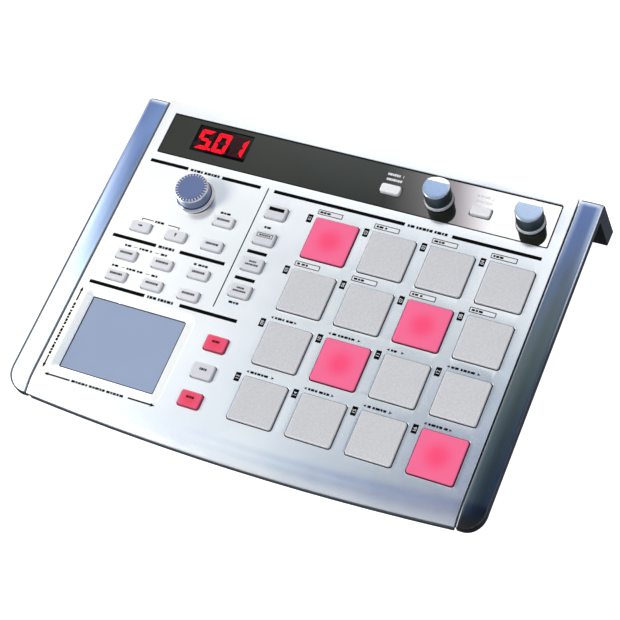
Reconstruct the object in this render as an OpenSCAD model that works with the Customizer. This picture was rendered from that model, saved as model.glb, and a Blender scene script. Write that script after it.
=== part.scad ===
// Desk-top pad controller with a tilted panel between two side rails.
// Panel frame: u to the right, v towards the rear, n out of the panel.
// The panel plane n = 0 is the upper surface of the top case, and u = v = 0
// lies under the middle of the case, level with the middle of the pad grid.

/* [Panel] */
// Tilt of the panel from level, degrees
tilt = 9; // [8.5:0.1:9.5]
// Height of the panel plane over the table, at v = 0
panel_z = 27.4; // [27:0.1:28.5]
// Half width of the top case between the rails
panel_half_w = 141.9; // [141.5:0.1:142.3]
// Thickness of the top case plate
plate_t = 3; // [2.8:0.1:3.1]
// Rear edge of the top case
rear_v = 130.8; // [130.5:0.1:131.5]
// Middle of the bowed front edge, forward of v = 0
front_v = 99.4; // [99:0.1:101]
// Radius of the bow of the front edge in plan
bow_r = 1700; // [1600:50:1900]
// Radius of the roll at the front of the panel
roll_r = 40; // [38:1:46]
// Length of the rolled front
roll_len = 16; // [15:1:17]

/* [Rails] */
// Inner face of each rail
rail_in = 142.75; // [142.6:0.05:143]
// Outer face of each rail
rail_out = 158; // [156:0.5:159]
// Thickness of the rail plate
rail_t = 6; // [5.5:0.1:6.5]
// Lean of the rear leg from the panel normal, degrees
leg_lean = 10.5; // [9:0.5:12]
// Thickness of the rear leg along v
leg_t = 12.5; // [11:0.5:13]
// Plan radius of the front outer corner
rail_corner_r = 12; // [10:0.5:13]

/* [Pads] */
// Distance between pad centres
pad_pitch = 38.5; // [38:0.1:39]
// Side of a square pad
pad_side = 28.9; // [28:0.1:29.5]
// Height of the pads over the panel
pad_h = 1.6; // [1.4:0.1:2.6]
// Travel of a pad
pad_travel = 0.8; // [0.4:0.1:0.8]
// Centre of the pad grid across the panel
pad_grid_u = 61.5; // [61:0.1:61.8]

/* [Buttons] */
// Height of the buttons over the panel
button_h = 2.2; // [1.8:0.1:2.6]
// Width of the buttons
button_w = 14; // [13.5:0.1:14.5]
// Travel of a button
button_travel = 0.6; // [0.3:0.1:0.6]

/* [Knobs] */
// Top of the strip knobs over the panel
knob_h = 15.2; // [14:0.1:15.5]
// Radius of the strip knobs
knob_r = 8.8; // [8.5:0.1:9]
// Top of the encoder knob over the panel
encoder_h = 11.5; // [11:0.1:12]
// Radius of the encoder knob's foot
encoder_r = 13; // [12.5:0.1:13.2]
// Radius of the knob shafts
shaft_r = 3; // [2.9:0.05:3.1]

/* [Hidden] */

$fn = 64;
arc_fn = 1440;             // for arcs of a very large radius
bow_c = bow_r - front_v;   // v of the centre of the front bow
roll_a = asin(roll_len / roll_r);
roll_drop = roll_r * (1 - cos(roll_a));
sweep = 12;                // angle of the bow sector, degrees

floor_z0 = 2;              // underside of the bottom case
floor_z1 = 4;              // upper side of its floor
leg_z = 1.5;               // underside of the rear legs
wall_half_w = 140.9;       // outer face of the bottom case's sides
wall_t = 2.2;
rear_wall = 127.6;         // outer face of the rear wall, before the shift along Y

// the leg's rear bottom corner and the front edge set the middle of the box
leg_n = (leg_z - panel_z - rear_v * sin(tilt)) / (cos(tilt) - tan(leg_lean) * sin(tilt));
leg_v = rear_v - leg_n * tan(leg_lean);
leg_y = leg_v * cos(tilt) - leg_n * sin(tilt);
front_y = -front_v * cos(tilt) + roll_drop * sin(tilt);
panel_y = -(leg_y + front_y) / 2;

board_top = -7.4;
board_t = 1.6;
boss_n = -6.5;             // where the upper screw bosses meet the lower posts
head_n = -9.9;             // seat of the case screw heads
screw_len = 7;

// strip, touch pad, encoder and knob places on the panel
strip_half_w = 134.4;
strip_v = [90.6, 121.8];
xy_c = [-95.2, -45.65];
xy_size = [66, 51.1];
xy_depth = 1.2;
encoder_at = [-94.2, 65.3];
knob_at = [[59.1, 105.3], [119.1, 105.1]];
display_at = [-94.2, 107.9];
display_size = [37.6, 19];

// buttons: u, v, depth along v
button_at = [
  [-119.8, 34.5, 7], [-94.2, 34.5, 7], [-68.2, 52.7, 7], [-68.2, 34.5, 7],
  [-120, 13.1, 7], [-94.2, 13.1, 7], [-68.2, 13.1, 7],
  [-120, -2.6, 7], [-94.2, -2.6, 7], [-68.2, -2.6, 7],
  [-37.4, 67.9, 9], [-37.4, 48.4, 9], [-37.4, 28.9, 9], [-37.4, 9.4, 9],
  [-37.1, -28.9, 10], [-37.1, -48.4, 10], [-37.1, -67.9, 10],
  [27, 103.8, 6.5], [87.2, 103.6, 6.5]];

case_screw_at = [[-130, -85], [0, -87], [130, -85], [-128, 84], [-48, 84], [45, 84], [128, 84]];
rail_screw_v = [-48, 92];
rail_screw_n = -10.5;
board_post_at = [[-125, 58], [-30, 58], [-125, -72], [-30, -72], [0, 72], [130, 72],
  [0, -72], [130, -72], [-125, 119], [40, 119], [125, 119]];
usb_x = -104;
midi_x = [-72, -44];
pedal_x = -14;
jack_board_z = 9;
socket_z = jack_board_z + board_t;

function pad_at(i) = [pad_grid_u + (i % 4 - 1.5) * pad_pitch, (1.5 - floor(i / 4)) * pad_pitch];

module on_panel() { translate([0, panel_y, panel_z]) rotate([tilt, 0, 0]) children(); }

// a profile in (v, n) drawn out along u
module along_u(u0, u1) { translate([u0, 0, 0]) rotate([90, 0, 90]) linear_extrude(u1 - u0) children(); }

// a ring sector about the centre of the front bow, from a profile in (radius, n)
module bow_sector() {
  translate([0, bow_c, 0]) rotate([0, 0, -90 - sweep / 2])
    rotate_extrude(angle = sweep, $fn = arc_fn) children();
}

// skin of the rolled panel between two depths below its surface
function roll_line(depth, grow) = [for (i = [0:8]) let (a = roll_a * i / 8)
  [bow_r + grow - roll_len + (roll_r - depth) * sin(a), -roll_r + (roll_r - depth) * cos(a)]];
module skin_profile(top, bottom) {
  upper = roll_line(top, 0);
  lower = roll_line(bottom, 0);
  polygon(concat([[1400, -bottom], [1400, -top]], upper,
    [[bow_r + 30, upper[8][1] - (bow_r + 30 - upper[8][0]) * tan(roll_a)],
     [bow_r + 30, lower[8][1] - (bow_r + 30 - lower[8][0]) * tan(roll_a)]],
    [for (i = [8:-1:0]) lower[i]]));
}

module plan_outline(half_w, inset) {
  intersection() {
    translate([-half_w, -front_v - 1]) square([2 * half_w, 400]);
    translate([0, bow_c]) circle(r = bow_r - inset, $fn = arc_fn);
  }
}

module centred_box(at, size, n0, n1) {
  translate([at[0] - size[0] / 2, at[1] - size[1] / 2, n0]) cube([size[0], size[1], n1 - n0]);
}

module top_case() {
  color("gainsboro") on_panel() difference() {
    union() {
      intersection() {
        bow_sector() skin_profile(0, plate_t);
        translate([-panel_half_w, -150, -40]) cube([2 * panel_half_w, 150 + rear_v, 60]);
        translate([0, bow_c, -40]) cylinder(r = bow_r, h = 60, $fn = arc_fn);
      }
      // backing of the touch pad
      centred_box(xy_c, xy_size + [8, 8], -plate_t - 1, -plate_t);
      // screw bosses
      for (p = case_screw_at) translate([p[0], p[1], boss_n]) cylinder(r = 3.75, h = -boss_n - 1.5);
    }
    for (i = [0:15]) centred_box(pad_at(i), [pad_side + 1, pad_side + 1], -10, 5);
    for (i = [0:16]) let (b = button_at[i]) centred_box(b, [button_w + 0.8, b[2] + 0.8], -10, 5);
    translate([encoder_at[0], encoder_at[1], -10]) cylinder(r = 4.2, h = 15);
    // strip seat, with an opening inside its ledge
    translate([-strip_half_w - 0.1, strip_v[0] - 0.1, -1.9]) cube([2 * strip_half_w + 0.2, strip_v[1] - strip_v[0] + 0.2, 5]);
    translate([-strip_half_w + 4, strip_v[0] + 3, -10]) cube([2 * strip_half_w - 8, strip_v[1] - strip_v[0] - 6, 15]);
    // touch pad recess with sloped sides, and the plate's seat
    hull() {
      centred_box(xy_c, xy_size + [0.6, 0.6], -xy_depth, -xy_depth + 0.01);
      centred_box(xy_c, xy_size + [11.6, 11.6], 0.02, 0.03);
    }
    centred_box(xy_c, xy_size + [0.2, 0.2], -xy_depth - 1, 0);
    for (p = case_screw_at) translate([p[0], p[1], boss_n - 1]) cylinder(r = 1.55, h = 5);
  }
}

module tray_core(half_w, inset, y1, z0) {
  intersection() {
    on_panel() translate([0, 0, -70]) linear_extrude(90) plan_outline(half_w, inset);
    translate([-200, -200, z0]) cube([400, 200 + y1 + panel_y, 100]);
  }
}

module bottom_case() {
  color("dimgray") difference() {
    union() {
      difference() {
        tray_core(wall_half_w, 0.4, rear_wall, floor_z0);
        tray_core(wall_half_w - wall_t, 2.6, rear_wall - wall_t, floor_z1);
      }
      intersection() {
        union() {
          on_panel() {
            for (p = case_screw_at) translate([p[0], p[1], -70]) cylinder(r = 4.6, h = 70 + boss_n - 0.05);
            for (p = board_post_at) translate([p[0], p[1], -70]) cylinder(r = 3, h = 70 + board_top - board_t - 0.02);
          }
          for (x = [-112, 20], y = [98, 120]) translate([x, y + panel_y, 0]) cylinder(r = 3, h = jack_board_z);
        }
        tray_core(wall_half_w - 1, 1.5, rear_wall - 1, floor_z0 + 0.5);
      }
      // spacers between the sides and the rails
      on_panel() for (s = [-1, 1], v = rail_screw_v)
        translate([s * (wall_half_w - 1), v, rail_screw_n]) rotate([0, s * 90, 0]) cylinder(r = 4, h = rail_in - wall_half_w + 1);
    }
    // room for the top case
    on_panel() bow_sector() skin_profile(-45, plate_t + 0.05);
    // wells and holes of the case screws
    on_panel() for (p = case_screw_at) {
      translate([p[0], p[1], -70]) cylinder(r = 3.3, h = 70 + head_n);
      translate([p[0], p[1], -70]) cylinder(r = 1.7, h = 80);
    }
    on_panel() for (s = [-1, 1], v = rail_screw_v)
      translate([s * (wall_half_w - 4), v, rail_screw_n]) rotate([0, s * 90, 0]) cylinder(r = 1.7, h = 8);
    // socket openings in the rear wall
    translate([usb_x - 6.3, rear_wall - 4 + panel_y, socket_z - 0.3]) cube([12.6, 8, 11.4]);
    for (x = midi_x) translate([x, rear_wall - 4 + panel_y, socket_z + 10]) rotate([-90, 0, 0]) cylinder(r = 8.3, h = 8);
    translate([pedal_x, rear_wall - 4 + panel_y, socket_z + 8]) rotate([-90, 0, 0]) cylinder(r = 5, h = 8);
  }
}

// side view of a rail: rolled front, flat top, rounded rear corner and leg
corner_r = 5;
roll_v = -front_v + 6.1 + roll_len;
rail_profile = concat(
  [[roll_v - roll_len - 4, -roll_drop - 4 * tan(roll_a)]],
  [for (i = [8:-1:0]) let (a = roll_a * i / 8) [roll_v - roll_r * sin(a), -roll_r * (1 - cos(a))]],
  [for (i = [0:6]) let (a = 90 - (90 - leg_lean) * i / 6) [rear_v - corner_r + corner_r * cos(a), -corner_r + corner_r * sin(a)]],
  [[rear_v + 60 * tan(leg_lean), -60], [rear_v + 60 * tan(leg_lean) - leg_t, -60]],
  [[rear_v + rail_t * tan(leg_lean) - leg_t, -rail_t], [roll_v, -rail_t]],
  [for (i = [1:8]) let (a = roll_a * i / 8) [roll_v - (roll_r - rail_t) * sin(a), -roll_r + (roll_r - rail_t) * cos(a)]],
  [[roll_v - roll_len - 4, -roll_r + (roll_r - rail_t) * cos(roll_a) - 4 * tan(roll_a) - 1]]);

module rail() {
  c = [rail_out - rail_corner_r, -front_v + 6.3 + rail_corner_r];
  intersection() {
    on_panel() difference() {
      intersection() {
        union() {
          along_u(rail_in, rail_out) polygon(rail_profile);
          // web that is screwed to the side of the case
          translate([rail_in, -66, -15]) cube([3.2, 182, 12]);
        }
        translate([0, 0, -70]) linear_extrude(90) union() {
          translate([rail_in, c[1]]) square([rail_out - rail_in, 300]);
          translate([rail_in, c[1] - rail_corner_r]) square([c[0] - rail_in, 100]);
          translate(c) circle(r = rail_corner_r);
        }
      }
      for (v = rail_screw_v) translate([rail_in - 1, v, rail_screw_n]) rotate([0, 90, 0]) cylinder(r = 1.55, h = 4);
    }
    translate([0, -200, leg_z]) cube([200, 400, 100]);
  }
}
module side_rail_right() { color("slategray") rail(); }
module side_rail_left() { color("lightsteelblue") mirror([1, 0, 0]) rail(); }

module display_strip() {
  color("#3e3e36") on_panel() difference() {
    translate([-strip_half_w, strip_v[0], -1.85]) cube([2 * strip_half_w, strip_v[1] - strip_v[0], 1.75]);
    for (k = knob_at) translate([k[0], k[1], -5]) cylinder(r = 4.2, h = 10);
    for (i = [17, 18]) let (b = button_at[i]) centred_box(b, [button_w + 0.2, b[2] + 0.8], -5, 5);
  }
}

module led_display() { color("red") on_panel() centred_box(display_at, display_size, board_top, -1.95); }

module xy_touch_pad() {
  color("#98a8cd") on_panel() centred_box(xy_c, xy_size, -xy_depth - 0.98, -xy_depth);
}

module main_board() {
  color("darkgreen") on_panel() translate([0, 0, board_top - board_t]) linear_extrude(board_t)
    polygon([[-136, -76], [-22, -76], [-22, 78], [-60, 78], [-60, 90], [132, 90], [132, 124],
      [-132, 124], [-132, 90], [-118, 90], [-118, 78], [-136, 78]]);
}

module pad_board() {
  color("darkgreen") on_panel() translate([-14, -76, board_top - board_t]) cube([150, 152, board_t]);
}

module jack_board() {
  color("darkgreen") translate([-118, 93 + panel_y, jack_board_z]) cube([144, 31.5, board_t]);
}

module pad_sensors() {
  color("gold") on_panel() for (i = [0:15]) let (p = pad_at(i))
    translate([p[0], p[1], board_top]) cylinder(r = 10, h = 1.2);
}

module tact_switches() {
  color("black") on_panel() for (b = button_at) {
    centred_box(b, [6, 6], board_top, board_top + 1.7);
    translate([b[0], b[1], board_top + 1.6]) cylinder(r = 1.7, h = 0.5);
  }
}

module encoder_body() {
  color("silver") on_panel() difference() {
    union() {
      centred_box(encoder_at, [12, 13], board_top, -3.2);
      translate([encoder_at[0], encoder_at[1], -3.3]) cylinder(r = 3.6, h = 3.5);
    }
    translate([encoder_at[0], encoder_at[1], -6.9]) cylinder(r = shaft_r + 0.05, h = 20);
  }
}

module knob_pots() {
  color("silver") on_panel() for (k = knob_at) difference() {
    union() {
      centred_box(k, [11, 11], board_top, -2.2);
      translate([k[0], k[1], -2.3]) cylinder(r = 3.6, h = 2.1);
    }
    translate([k[0], k[1], -6.4]) cylinder(r = shaft_r + 0.05, h = 20);
  }
}

module usb_socket() {
  color("silver") translate([usb_x, panel_y, socket_z]) difference() {
    translate([-6, 112, 0]) cube([12, 15.9, 10.8]);
    difference() {
      translate([0, 118.4, 1.5]) rotate([90, 0, 0]) mirror([0, 0, 1]) linear_extrude(20)
        polygon([[-4.25, 0], [4.25, 0], [4.25, 5.6], [2.6, 7.8], [-2.6, 7.8], [-4.25, 5.6]]);
      translate([-2.8, 118, 3.7]) cube([5.6, 9, 3.2]);
    }
  }
}

module midi_sockets() {
  color("#2b2b2b") for (x = midi_x) translate([x, panel_y, socket_z]) difference() {
    union() {
      translate([-9.5, 108, 0]) cube([19, 16.6, 20]);
      translate([0, 124.5, 10]) rotate([-90, 0, 0]) cylinder(r = 7.9, h = 3.4);
    }
    // groove for the plug's shell
    translate([0, 119.5, 10]) rotate([-90, 0, 0]) difference() {
      cylinder(r = 7.1, h = 20);
      translate([0, 0, -1]) cylinder(r = 6.2, h = 30);
    }
  }
}

module pedal_jack() {
  color("#2b2b2b") translate([pedal_x, panel_y, socket_z]) difference() {
    union() {
      translate([-8, 100, 0]) cube([16, 24.6, 15.5]);
      translate([0, 124.5, 8]) rotate([-90, 0, 0]) cylinder(r = 4.75, h = 4.9);
      translate([0, rear_wall + 0.05, 8]) rotate([-90, 0, 0]) cylinder(r = 6.8, h = 1.3);
    }
    translate([0, 103, 8]) rotate([-90, 0, 0]) cylinder(r = 3.25, h = 40);
  }
}

module rubber_feet() {
  color("black") {
    for (s = [-1, 1]) translate([s * 118, panel_y - 72, 0]) cylinder(r = 6.5, h = floor_z0);
    for (s = [-1, 1]) translate([s * (rail_in + rail_out) / 2 - 5.5, panel_y + leg_y - 10, 0]) cube([11, 8.8, leg_z]);
  }
}

module screw() {
  translate([0, 0, -2]) cylinder(r = 2.8, h = 2);
  translate([0, 0, -0.5]) cylinder(r = 1.5, h = 0.5 + screw_len);
}
module case_screws() {
  color("gray") on_panel() {
    for (p = case_screw_at) translate([p[0], p[1], head_n]) screw();
    for (s = [-1, 1], v = rail_screw_v)
      translate([s * (wall_half_w - wall_t), v, rail_screw_n]) rotate([0, s * 90, 0]) screw();
  }
}

module encoder_knob() {
  color("#aab4cc") on_panel() translate([encoder_at[0], encoder_at[1], 0]) difference() {
    rotate_extrude() polygon([[0, 0.8], [encoder_r, 0.8], [encoder_r, 1.7], [encoder_r - 1.1, 3.1],
      [encoder_r - 1.8, 5.2], [encoder_r - 1.8, 8], [encoder_r - 1.4, 9.4], [encoder_r - 1.4, encoder_h - 0.9],
      [encoder_r - 2.1, encoder_h], [0, encoder_h]]);
    cylinder(r = shaft_r, h = 9.02);
  }
}
module encoder_shaft() {
  color("silver") on_panel() translate([encoder_at[0], encoder_at[1], -6.6]) cylinder(r = shaft_r, h = 15.6);
}

// strip knob with a sloped pointer facet on its far side
module knob(k) {
  color("#46525c") on_panel() translate([k[0], k[1], 0]) difference() {
    rotate_extrude() polygon([[0, 0.6], [knob_r + 0.7, 0.6], [knob_r + 0.7, 1.7], [knob_r, 2.5],
      [knob_r - 0.2, knob_h - 0.7], [knob_r - 0.8, knob_h], [0, knob_h]]);
    translate([-12, 3.7, knob_h]) rotate([-27, 0, 0]) cube([24, 14, 9]);
    cylinder(r = shaft_r, h = 11.02);
  }
}
module knob_shaft(k) {
  color("silver") on_panel() translate([k[0], k[1], -6.1]) cylinder(r = shaft_r, h = 17.1);
}

module pad(i) {
  p = pad_at(i);
  lit = i == 0 || i == 6 || i == 9 || i == 15;
  color(lit ? "#ff6b90" : "#d2d2d2") on_panel() {
    centred_box(p, [pad_side, pad_side], -4.2, pad_h);
    centred_box(p, [pad_side + 3.4, pad_side + 3.4], -4.9, -plate_t - 0.6);
  }
}

module button(i) {
  b = button_at[i];
  lit = i == 14 || i == 16;
  flange = i < 17 ? [button_w + 2.6, b[2] + 2.6] : [button_w + 2, b[2] + 2.4];
  w = i < 17 ? button_w : button_w - 0.6;
  color(lit ? "#ff4a66" : "#e8e8ea") on_panel() {
    centred_box(b, [w, b[2]], -4, button_h);
    centred_box(b, flange, -4.4, -plate_t - 0.4);
  }
}

top_case();
bottom_case();
side_rail_left();
side_rail_right();
display_strip();
led_display();
xy_touch_pad();
main_board();
pad_board();
jack_board();
pad_sensors();
tact_switches();
encoder_body();
knob_pots();
usb_socket();
midi_sockets();
pedal_jack();
rubber_feet();
case_screws();
encoder_knob();
encoder_shaft();
knob(knob_at[0]);  // knob_1
knob_shaft(knob_at[0]);  // knob_shaft_1
knob(knob_at[1]);  // knob_2
knob_shaft(knob_at[1]);  // knob_shaft_2
pad(0);  // pad_01
pad(1);  // pad_02
pad(2);  // pad_03
pad(3);  // pad_04
pad(4);  // pad_05
pad(5);  // pad_06
pad(6);  // pad_07
pad(7);  // pad_08
pad(8);  // pad_09
pad(9);  // pad_10
pad(10);  // pad_11
pad(11);  // pad_12
pad(12);  // pad_13
pad(13);  // pad_14
pad(14);  // pad_15
pad(15);  // pad_16
button(0);  // button_x
button(1);  // button_y
button(2);  // button_enter
button(3);  // button_menu
button(4);  // param_button_1
button(5);  // param_button_2
button(6);  // param_button_3
button(7);  // param_button_4
button(8);  // param_button_5
button(9);  // param_button_6
button(10);  // mode_button_1
button(11);  // mode_button_2
button(12);  // mode_button_3
button(13);  // mode_button_4
button(14);  // trigger_button_1
button(15);  // trigger_button_2
button(16);  // trigger_button_3
button(17);  // assign_button_1
button(18);  // assign_button_2
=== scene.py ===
import math

import bmesh
import bpy
from mathutils import Matrix, Vector
from mathutils.geometry import delaunay_2d_cdt


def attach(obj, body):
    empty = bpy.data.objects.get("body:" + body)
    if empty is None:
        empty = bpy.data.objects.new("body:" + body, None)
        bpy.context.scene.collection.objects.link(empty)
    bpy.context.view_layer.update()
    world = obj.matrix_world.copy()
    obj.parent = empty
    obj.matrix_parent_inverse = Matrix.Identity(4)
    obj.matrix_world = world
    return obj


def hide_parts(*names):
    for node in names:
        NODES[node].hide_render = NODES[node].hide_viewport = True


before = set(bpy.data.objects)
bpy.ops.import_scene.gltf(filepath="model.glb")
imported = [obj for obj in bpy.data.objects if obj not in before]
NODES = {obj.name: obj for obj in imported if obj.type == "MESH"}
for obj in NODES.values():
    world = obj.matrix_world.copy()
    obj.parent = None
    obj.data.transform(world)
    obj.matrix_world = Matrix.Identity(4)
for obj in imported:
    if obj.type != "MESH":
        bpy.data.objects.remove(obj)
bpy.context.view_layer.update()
scene = bpy.context.scene

# ---------------------------------------------------------------- panel frame
# u to the right, v to the rear, n out of the panel, in millimetres
TILT = math.radians(9.0)
PANEL_Y, PANEL_Z = -23.976662, 27.4
MM = 0.001
PANEL = Matrix.Translation((0, PANEL_Y * MM, PANEL_Z * MM)) @ Matrix.Rotation(TILT, 4, "X")

HALF_W, REAR_V, FRONT_V = 141.9, 130.8, 99.4
BOW_R, ROLL_R, ROLL_LEN = 1700.0, 40.0, 16.0
BOW_C = BOW_R - FRONT_V
ROLL_A = math.asin(ROLL_LEN / ROLL_R)
PLATE_T = 3.0
RAIL_IN, RAIL_OUT, RAIL_T = 142.75, 158.0, 6.0
LEG_LEAN, LEG_T = math.radians(10.5), 12.5
STRIP_W, STRIP_V0, STRIP_V1 = 134.4, 90.6, 121.8
XY_C, XY_SIZE, XY_DEPTH = (-95.2, -45.65), (66.0, 51.1), 1.2
ENCODER_AT = (-94.2, 65.3)
KNOB_AT = ((59.1, 105.3), (119.1, 105.1))
DISPLAY_AT = (-94.2, 107.9)
PAD_PITCH, PAD_SIDE, PAD_H, PAD_U = 38.5, 28.9, 1.6, 61.5
BUTTON_H, BUTTON_W = 2.2, 14.0
BUTTONS = {
    "button_x": (-119.8, 34.5, 7), "button_y": (-94.2, 34.5, 7),
    "button_enter": (-68.2, 52.7, 7), "button_menu": (-68.2, 34.5, 7),
    "param_button_1": (-120, 13.1, 7), "param_button_2": (-94.2, 13.1, 7), "param_button_3": (-68.2, 13.1, 7),
    "param_button_4": (-120, -2.6, 7), "param_button_5": (-94.2, -2.6, 7), "param_button_6": (-68.2, -2.6, 7),
    "mode_button_1": (-37.4, 67.9, 9), "mode_button_2": (-37.4, 48.4, 9),
    "mode_button_3": (-37.4, 28.9, 9), "mode_button_4": (-37.4, 9.4, 9),
    "trigger_button_1": (-37.1, -28.9, 10), "trigger_button_2": (-37.1, -48.4, 10), "trigger_button_3": (-37.1, -67.9, 10),
    "assign_button_1": (27, 103.8, 6.5), "assign_button_2": (87.2, 103.6, 6.5),
}
LIT_PADS = ("pad_01", "pad_07", "pad_10", "pad_16")
LIT_BUTTONS = ("trigger_button_1", "trigger_button_3")


def pad_at(i):
    return (PAD_U + (i % 4 - 1.5) * PAD_PITCH, (1.5 - i // 4) * PAD_PITCH)


def roll_n(u, v):
    """Height of the panel surface: flat, then rolled down towards the bowed front."""
    r = math.hypot(u, BOW_C - v)
    x = r - (BOW_R - ROLL_LEN)
    if x <= 0:
        return 0.0
    return -ROLL_R + math.sqrt(max(0.0, ROLL_R * ROLL_R - x * x))


# ---------------------------------------------------------------- camera
RIGHT = Vector((0.90470152, 0.37710976, -0.19825083))
DOWN = Vector((0.24938357, -0.84601604, -0.47123741))
AHEAD = Vector((-0.34543161, 0.3768887, -0.85943697))
cam_data = bpy.data.cameras.new("camera")
cam_data.sensor_width = 36.0
cam_data.lens = 100.765
cam_data.clip_start, cam_data.clip_end = 0.05, 50.0
cam = bpy.data.objects.new("camera", cam_data)
scene.collection.objects.link(cam)
turn = Matrix((RIGHT, -DOWN, -AHEAD)).transposed().to_4x4()
cam.matrix_world = PANEL @ Matrix.Translation(Vector((375.67, -388.83, 909.57)) * MM) @ turn
scene.camera = cam
scene.view_settings.view_transform = "Standard"
scene.view_settings.look = "None"


# ---------------------------------------------------------------- material kit
def srgb(code):
    """Linear colour of a hex code such as d2d2d2."""
    out = []
    for i in (0, 2, 4):
        c = int(code[i:i + 2], 16) / 255.0
        out.append(c / 12.92 if c <= 0.04045 else ((c + 0.055) / 1.055) ** 2.4)
    return (*out, 1.0)


def shade(col, k):
    return (col[0] * k, col[1] * k, col[2] * k, 1.0)


class Mat:
    """A Principled material with object-space grain, blotches, roughness variation and bump."""

    def __init__(self, name, metallic=0.0, spec=0.5, ior=1.5, coat=0.0, coat_rough=0.1):
        self.mat = bpy.data.materials.new(name)
        self.mat.use_nodes = True
        self.nt = self.mat.node_tree
        self.bsdf = self.nt.nodes["Principled BSDF"]
        self.bsdf.inputs["Metallic"].default_value = metallic
        self.bsdf.inputs["Specular IOR Level"].default_value = spec
        self.bsdf.inputs["IOR"].default_value = ior
        self.bsdf.inputs["Coat Weight"].default_value = coat
        self.bsdf.inputs["Coat Roughness"].default_value = coat_rough
        self.coord = self.nt.nodes.new("ShaderNodeTexCoord").outputs["Object"]

    def node(self, kind, **props):
        n = self.nt.nodes.new(kind)
        for k, v in props.items():
            setattr(n, k, v)
        return n

    def link(self, a, b):
        self.nt.links.new(a, b)

    def stretched(self, x, y, z):
        m = self.node("ShaderNodeMapping")
        m.inputs["Scale"].default_value = (x, y, z)
        self.link(self.coord, m.inputs["Vector"])
        return m.outputs["Vector"]

    def noise(self, scale, detail=2.0, rough=0.5, coord=None):
        n = self.node("ShaderNodeTexNoise")
        n.inputs["Scale"].default_value = scale
        n.inputs["Detail"].default_value = detail
        n.inputs["Roughness"].default_value = rough
        self.link(coord or self.coord, n.inputs["Vector"])
        return n.outputs["Fac"]

    def cells(self, scale, feature="F1", coord=None):
        n = self.node("ShaderNodeTexVoronoi", feature=feature)
        n.inputs["Scale"].default_value = scale
        self.link(coord or self.coord, n.inputs["Vector"])
        return n.outputs["Distance"]

    def remap(self, fac, lo, hi, a=0.35, b=0.65, smooth=False):
        n = self.node("ShaderNodeMapRange")
        if smooth:
            n.interpolation_type = "SMOOTHSTEP"
        n.inputs["From Min"].default_value, n.inputs["From Max"].default_value = a, b
        n.inputs["To Min"].default_value, n.inputs["To Max"].default_value = lo, hi
        self.link(fac, n.inputs["Value"])
        return n.outputs["Result"]

    def mix(self, fac, a, b, blend="MIX"):
        n = self.node("ShaderNodeMix", data_type="RGBA", blend_type=blend)
        for sock, val in ((n.inputs["Factor"], fac), (n.inputs["A"], a), (n.inputs["B"], b)):
            if isinstance(val, bpy.types.NodeSocket):
                self.link(val, sock)
            else:
                sock.default_value = val
        # the RGBA sockets of a Mix node sit at 6 and 7
        for idx, val in ((6, a), (7, b)):
            if isinstance(val, bpy.types.NodeSocket):
                self.link(val, n.inputs[idx])
            else:
                n.inputs[idx].default_value = val
        return n.outputs[2]

    def math(self, op, a, b=None):
        n = self.node("ShaderNodeMath", operation=op)
        for i, val in enumerate((a, b)):
            if val is None:
                continue
            if isinstance(val, bpy.types.NodeSocket):
                self.link(val, n.inputs[i])
            else:
                n.inputs[i].default_value = val
        return n.outputs[0]

    def edge(self, lo=0.52, hi=0.62):
        g = self.node("ShaderNodeNewGeometry")
        return self.remap(g.outputs["Pointiness"], 0.0, 1.0, lo, hi, True)

    def colour(self, sock):
        self.link(sock, self.bsdf.inputs["Base Color"])

    def rough(self, sock):
        self.link(sock, self.bsdf.inputs["Roughness"])

    def bump(self, height, strength, distance=0.0001):
        b = self.node("ShaderNodeBump")
        b.inputs["Strength"].default_value = strength
        b.inputs["Distance"].default_value = distance
        self.link(height, b.inputs["Height"])
        self.link(b.outputs["Normal"], self.bsdf.inputs["Normal"])


def moulded(name, code, rough=0.5, var=0.06, grain=2600.0, bump=0.12, spec=0.5, speck=0.05, wear=0.10, coat=0.0, metallic=0.0):
    """Moulded plastic, rubber or paint: faint blotches, fine grain, lighter rubbed edges."""
    m = Mat(name, spec=spec, coat=coat, coat_rough=0.2, metallic=metallic)
    base = srgb(code)
    blotch = m.remap(m.noise(38.0, 3.0), 0.0, 1.0)
    col = m.mix(blotch, shade(base, 1.0 - var * 0.5), shade(base, 1.0 + var * 0.5))
    fine = m.noise(grain, 2.0, 0.6)
    col = m.mix(m.remap(fine, 0.0, 1.0, 0.3, 0.7), shade(base, 1.0 - speck), col)
    if wear:
        worn = m.math("MULTIPLY", m.edge(), m.remap(m.noise(160.0, 4.0), 0.2, 1.0))
        worn = m.math("MULTIPLY", worn, wear)
        col = m.mix(worn, col, (0.9, 0.92, 0.95, 1.0))
    m.colour(col)
    m.rough(m.remap(m.noise(90.0, 3.0), max(0.02, rough - 0.06), min(1.0, rough + 0.06)))
    m.bump(fine, bump, 0.00012)
    return m.mat


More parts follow.
